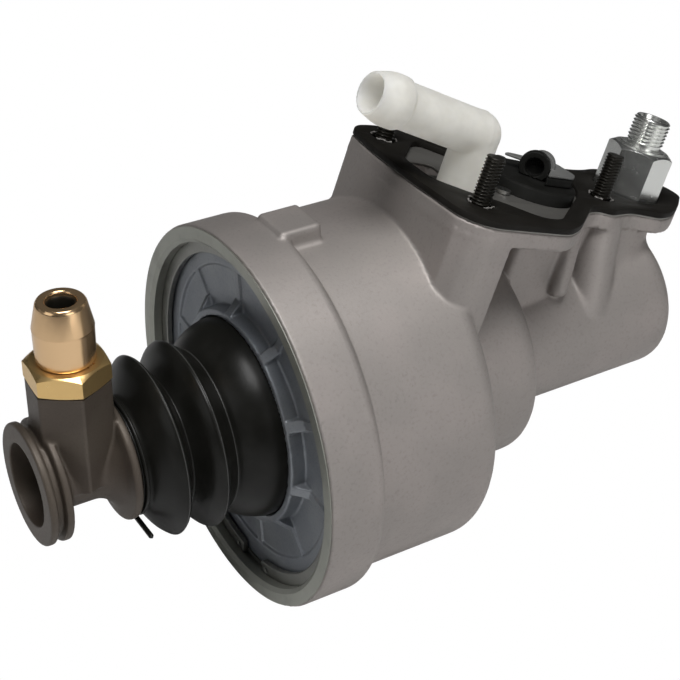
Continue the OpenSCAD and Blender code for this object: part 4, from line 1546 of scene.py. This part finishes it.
@dataclass
class Boot:
    """The rubber boot, which bends between the cover and the rod."""

    wall: float = 1.6
    neck_r: float = 21.6
    end: float = 45.9

    def make(self) -> None:
        """Build the boot and the wire clip on its neck."""
        line = rounded((
            (-8.3, 37.6, 0.1), (-8.3, 39.0, 0.3), (-2.6, 39.0, 0.6), (1.5, 38.4, 2.0),
            (6.0, 36.6, 2.5), (10.8, 33.2, 2.2), (12.8, 30.8, 0.8), (15.6, 32.9, 1.6),
            (19.8, 36.6, 2.1), (23.0, 33.0, 1.6), (26.4, 26.8, 2.4), (28.0, 25.2, 0.8),
            (30.0, 27.8, 2.0), (33.6, 35.2, 2.2), (37.2, 31.6, 1.8), (40.6, 25.8, 2.4),
            (42.6, 22.0, 1.0), (44.0, self.neck_r, 0.5), (self.end, self.neck_r, 0.3),
            (self.end, self.neck_r - self.wall, 0.3), (42.2, self.neck_r - self.wall, 0.8),
            (39.6, 24.6, 1.6), (36.2, 29.9, 1.6), (34.2, 31.6, 0.8), (31.8, 27.2, 1.6),
            (28.2, 23.5, 1.4), (25.0, 25.6, 1.6), (21.0, 32.0, 1.4), (19.6, 33.4, 0.8),
            (16.8, 31.2, 1.4), (12.8, 29.0, 1.4), (9.4, 31.6, 1.8), (5.0, 35.2, 1.8),
            (0.6, 36.9, 1.6), (-3.0, 37.4, 0.6)), 5)
        outer = line[:120]
        beads = []
        for low, high, sign in ((17, 23, 1), (31, 37, 1), (11, 15, -1), (26, 30, -1)):
            near = outer[(outer[:, 0] > low) & (outer[:, 0] < high)]
            x, r = near[np.argmax(near[:, 1] * sign)]
            path = MAIN.row(polar(r, full_turn(200), x))
            beads.append(tube(path, 0.22, 8, True))
        ends = (0.0, 44.0)
        # The mould lines are real thin ridges; their lighter finish is a painted highlight along
        # the crests and valleys
        build("boot_mould_lines_painted_highlight", merged(beads), Finish.RUBBER_LINE, sharp=60, bends=ends)
        build("rubber_boot", revolve(MAIN, line, 224), Finish.RUBBER, "boot", 60,
              bends=ends)
        wire, at, count = 0.8, 44.6, 24
        loop = MAIN.row(polar(self.neck_r + 0.9, full_turn(128), at))
        y = np.linspace(-1.0, 23.3, count)
        end = np.stack([np.full(count, at), y, np.full(count, -self.neck_r - 1.15)], -1)
        taper = 1.0 * np.sqrt(np.clip(1.0 - np.clip((y - 22.4) / 0.95, 0, 1) ** 2, 0.02, 1))
        shape = tube(loop, wire, 12, True) + tube(end + np.array([0, 0, 1e-4]), taper, 14)
        build("boot_clip_wire", shape, Finish.RUBBER, "boot_clip", 50, "push_rod")


@dataclass
class RodHead:
    """The forged head with its boss, its double ring, the nut and the nose."""

    disc_x: float = 46.6
    disc_r: float = 23.8
    neck_r: float = 12.5
    ring_x: float = 72.5
    ring_w: float = 9.0
    ring_r: float = 23.0
    bore_r: float = 15.5
    boss_x: float = 62.3
    boss_r: float = 15.5
    boss_turn: float = 26.0
    boss_top: float = 39.3

    def forging(self) -> Solid:
        """The head's form.

        Returns:
            The solid, with the bores for the ring, the rod and the nose.
        """
        front = self.ring_x + self.ring_w
        line = traced((
            (self.disc_x, 8.05, 0.2), (self.disc_x, self.disc_r, 1.2),
            (self.disc_x + 3.0, self.disc_r, 1.1), (self.disc_x + 4.2, 18.0, 2.5),
            (self.disc_x + 9.0, self.neck_r, 4.0), (self.ring_x - 3, self.neck_r, 2.0),
            (self.ring_x + 0.2, self.ring_r - 3.4, 1.8), (self.ring_x + 0.2, self.ring_r, 0.7),
            (self.ring_x + 2.8, self.ring_r, 0.8), (self.ring_x + 3.3, self.ring_r - 3.2, 0.6),
            (self.ring_x + 5.6, self.ring_r - 3.2, 0.6), (self.ring_x + 6.1, self.ring_r, 0.8),
            (front, self.ring_r, 1.1), (front, self.bore_r, 0.7),
            (self.ring_x + 0.6, self.bore_r, 0.4), (self.ring_x + 0.6, -5, 0.1),
            (58.0, -5, 0.1), (58.0, 8.05, 0.2)))
        corners = circle((0.0, 0.0), self.boss_r, 6) @ np.array(
            Matrix.Rotation(math.radians(self.boss_turn), 2)).T
        boss_line = traced([(u, y, 0.9) for u, y in corners])
        boss = prism(boss_line, ROW.moved(self.boss_x), -1.0, self.boss_top, 0.5)
        inner = traced((
            (self.ring_x + 0.6, -5, 0.1), (self.ring_x + 0.6, self.bore_r, 0.4),
            (self.ring_x + 14, self.bore_r, 0.1), (self.ring_x + 14, -5, 0.1)))
        form = turned_form(line, MAIN).join(boss, 1.6)
        form = form.cut(turned_form(inner, MAIN), 0.4)
        form = form.cut(rod(MAIN, 8.05, self.disc_x - 3, 58.0, 0.2), 0.3)
        seat = ROW.moved(self.boss_x)
        form = form.cut(rod(seat, 8.7, self.boss_top - 13, self.boss_top + 2, 0.2), 0.4)
        return form.cut(rod(seat, 4.0, self.boss_top - 23, self.boss_top + 2, 0.2), 0.3)

    def make(self) -> None:
        """Build the head, the nut and the nose."""
        shape = skin(self.forging(), (44, -26, -26), (84, 26, 42), 0.62)
        build("rod_head_forging", shape, Finish.HEAD, "rod_head", body="push_rod")
        seat = ROW.moved(self.boss_x, 0.0, self.boss_top)
        stub = np.array([(-12, 6.9), (-12, 8.2), (-11.8, 8.4), (0.5, 8.4), (0.5, 6.9)])
        nut = hex_body(seat, 27.0, 27.0, 0.0, 8.4, 6.9, 0.6, 0.25) + revolve(seat, stub, 72)
        build("brass_lock_nut", nut, Finish.BRASS, "brass_nut", 26, "push_rod")
        nose = seat.moved(z=8.7)
        line = rounded((
            (-10, 5.3, 0.1), (-10, 6.6, 0.3), (0, 6.6, 0.1), (0, 10.4, 0.25), (0.6, 10.65, 0.4),
            (12.7, 10.75, 0.3), (13.0, 10.85, 0.2), (22.2, 8.9, 0.5), (23.2, 8.1, 0.4),
            (23.2, 5.9, 0.3), (22.7, 5.4, 0.3), (20.5, 5.3, 0.5)), 4)
        build("bronze_nose_turned", revolve(nose, line, 144), Finish.BRONZE, "bronze_nose",
              24, "push_rod")
        # A black sleeve lines the nose's bore: painted shade for the dark inside of the hole
        sleeve = np.array([(10, 4.6), (10, 5.25), (21.4, 5.25), (21.4, 4.9), (20.9, 4.6)])
        build("nose_bore_shade_sleeve", revolve(nose, sleeve, 64), Finish.STUD, sharp=40,
              body="push_rod")


@dataclass
class PreloadSpring:
    """The coil spring behind the piston."""

    radius: float = 17.0
    wire: float = 1.25
    turns: int = 9
    start: float = -180.6
    end: float = -57.3

    def make(self) -> None:
        """Build the spring at one length, though the spring shortens with the rod."""
        t = np.linspace(0.0, 1.0, self.turns * 40)
        dead = np.clip((t - 0.06) / 0.88, 0.0, 1.0)
        x = self.start + self.wire + (self.end - self.start - 2 * self.wire) * dead
        a = t * TAU * self.turns
        path = MAIN.row(polar(self.radius, a, x))
        build("preload_coil", tube(path, self.wire, 12, core=MAIN), Finish.STEEL,
              "preload_spring", 60, bends=(self.start, self.end))


CAD_FINISHES = {
    Finish.RUBBER: ("elbow_seal", "valve_seal", "cover_o_ring", "rod_wiper", "piston_seal"),
    Finish.COPPER: ("fitting_seal", "guide_bush"),
    Finish.STEEL: ("valve_screws", "chamber_bushing", "boot_collar", "push_rod", "piston_nut",
                   "front_spring_seat", "rear_spring_seat"),
    Finish.MILLED: ("piston",),
    Finish.GREY_PLASTIC: ("guide_ring",),
    Finish.BLACK_PLASTIC: ("sensor_tube",),
    Finish.NYLON: ("sensor_carrier",),
    Finish.MAGNET: ("sensor_magnet",),
}


def paint_cad(nodes: dict) -> None:
    """Give each CAD node that stays its finish.

    Args:
        nodes: The frame's node objects by name.
    """
    for finish, names in CAD_FINISHES.items():
        for name in names:
            mesh = nodes[name].data
            mesh.materials.clear()
            mesh.materials.append(finish.material())


# ---------------------------------------------------------------- picture

@dataclass(frozen=True)
class Shot:
    """The photograph's camera, worked out from the rims of the housing.

    Attributes:
        station: The camera's place in the row frame, in millimetres.
        aim: A point in the middle of the picture, in millimetres.
        roll: Turn of the picture about the line of sight, in degrees.
        lens: Focal length in millimetres on a 36 mm sensor.
    """

    station: tuple = (221.418, 437.971, 349.610)
    aim: tuple = (-43.301, 7.945, 25.571)
    roll: float = -0.8735
    lens: float = 84.27

    def make(self) -> None:
        """Build the camera."""
        data = bpy.data.cameras.new("camera")
        data.lens = self.lens
        data.sensor_width = 36.0
        data.clip_start = 0.01
        data.clip_end = 20.0
        camera = link("camera", data)
        ahead = Vector(self.aim) - Vector(self.station)
        turn = ahead.to_track_quat("-Z", "Y").to_matrix().to_4x4()
        roll = Matrix.Rotation(math.radians(-self.roll), 4, "Z")
        camera.matrix_world = Matrix.Translation(Vector(self.station) * MM) @ turn @ roll
        bpy.context.scene.camera = camera


@dataclass(frozen=True)
class SoftBox:
    """One area lamp that looks at the object.

    Attributes:
        name: The lamp's name.
        side: Distance to the right of the camera's line, in metres.
        rise: Distance above it, in metres.
        ahead: Distance from the object towards the camera, in metres.
        power: Power in watts.
        size: Side of its square face, in metres.
    """

    name: str
    side: float
    rise: float
    ahead: float
    power: float
    size: float = 0.7

    def make(self, camera: bpy.types.Object) -> None:
        """Build the lamp.

        Args:
            camera: The camera whose axes place the lamp.
        """
        data = bpy.data.lights.new(self.name, "AREA")
        data.shape = "SQUARE"
        data.size = self.size
        data.energy = self.power
        lamp = link(self.name, data)
        turn = camera.matrix_world.to_3x3()
        target = Vector((-0.055, 0.0, 0.01))
        place = target + turn @ Vector((self.side, self.rise, self.ahead))
        aim = (target - place).to_track_quat("-Z", "Y")
        lamp.matrix_world = Matrix.Translation(place) @ aim.to_matrix().to_4x4()


LAMPS = (
    SoftBox("front_top", 0.08, 0.92, 0.98, 15.0),
    SoftBox("front_right", 0.80, 0.0, 1.05, 2.9),
    SoftBox("front_left", -0.920, 0.066, 0.986, 1.4),
    SoftBox("low_right", 1.0, -0.733, 0.533, 3.0),
    SoftBox("left", -1.317, 0.132, 0.263, 0.15),
)


def split_by_camera(tree: bpy.types.NodeTree, rest: bpy.types.NodeSocket,
                    seen: bpy.types.NodeSocket, out: bpy.types.NodeSocket) -> None:
    """Send one shader to the camera and another to every other ray.

    Args:
        tree: The node tree.
        rest: Shader for every other ray.
        seen: Shader for the camera.
        out: The socket that takes the result.
    """
    path = tree.nodes.new("ShaderNodeLightPath")
    mix = tree.nodes.new("ShaderNodeMixShader")
    for start, end in ((path.outputs["Is Camera Ray"], mix.inputs[0]), (rest, mix.inputs[1]),
                       (seen, mix.inputs[2]), (mix.outputs[0], out)):
        tree.links.new(start, end)


def white_backdrop(light: float) -> None:
    """White to the camera, and a softer white to everything else.

    Args:
        light: Strength of the light that the surroundings give.
    """
    world = bpy.data.worlds.new("studio")
    bpy.context.scene.world = world
    world.use_nodes = True
    tree = world.node_tree
    tree.nodes.clear()
    out = tree.nodes.new("ShaderNodeOutputWorld")
    lit = tree.nodes.new("ShaderNodeBackground")
    seen = tree.nodes.new("ShaderNodeBackground")
    lit.inputs["Color"].default_value = (0.96, 0.98, 1.0, 1.0)
    lit.inputs["Strength"].default_value = light
    seen.inputs["Color"].default_value = (1.0, 1.0, 1.0, 1.0)
    split_by_camera(tree, lit.outputs[0], seen.outputs[0], out.inputs[0])


def studio_floor(height: float) -> None:
    """A pale floor under the object that looks like the backdrop.

    Args:
        height: Its height in the row frame, in metres.
    """
    half = 1.6
    mesh = bpy.data.meshes.new("studio_floor")
    mesh.from_pydata([(-half, -half, height), (half, -half, height), (half, half, height),
                      (-half, half, height)], [], [(0, 1, 2, 3)])
    graph = Graph("studio_floor")
    graph.set(Base_Color=(0.8, 0.8, 0.8), Roughness=0.9)
    white = graph.tree.nodes.new("ShaderNodeEmission")
    split_by_camera(graph.tree, graph.shader.outputs[0], white.outputs[0], graph.out.inputs[0])
    mesh.materials.append(graph.material)
    link("studio_floor", mesh)


def main() -> None:
    """Build the whole picture."""
    logging.basicConfig(level=logging.INFO, format="%(name)s: %(message)s")
    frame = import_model()
    cad_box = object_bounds()
    Shot().make()
    for part in (Housing(), Gasket(), Studs(), Elbow(), AirFitting(), Valve(), Cover(),
                 SnapRing(), Boot(), RodHead(), PreloadSpring()):
        part.make()
    paint_cad(frame["nodes"])
    studio_floor(float(cad_box[0][2]) - 0.004)
    white_backdrop(0.02)
    for lamp in LAMPS:
        lamp.make(bpy.context.scene.camera)
    bpy.context.scene.view_settings.view_transform = "Standard"


if __name__ == "__main__":
    main()
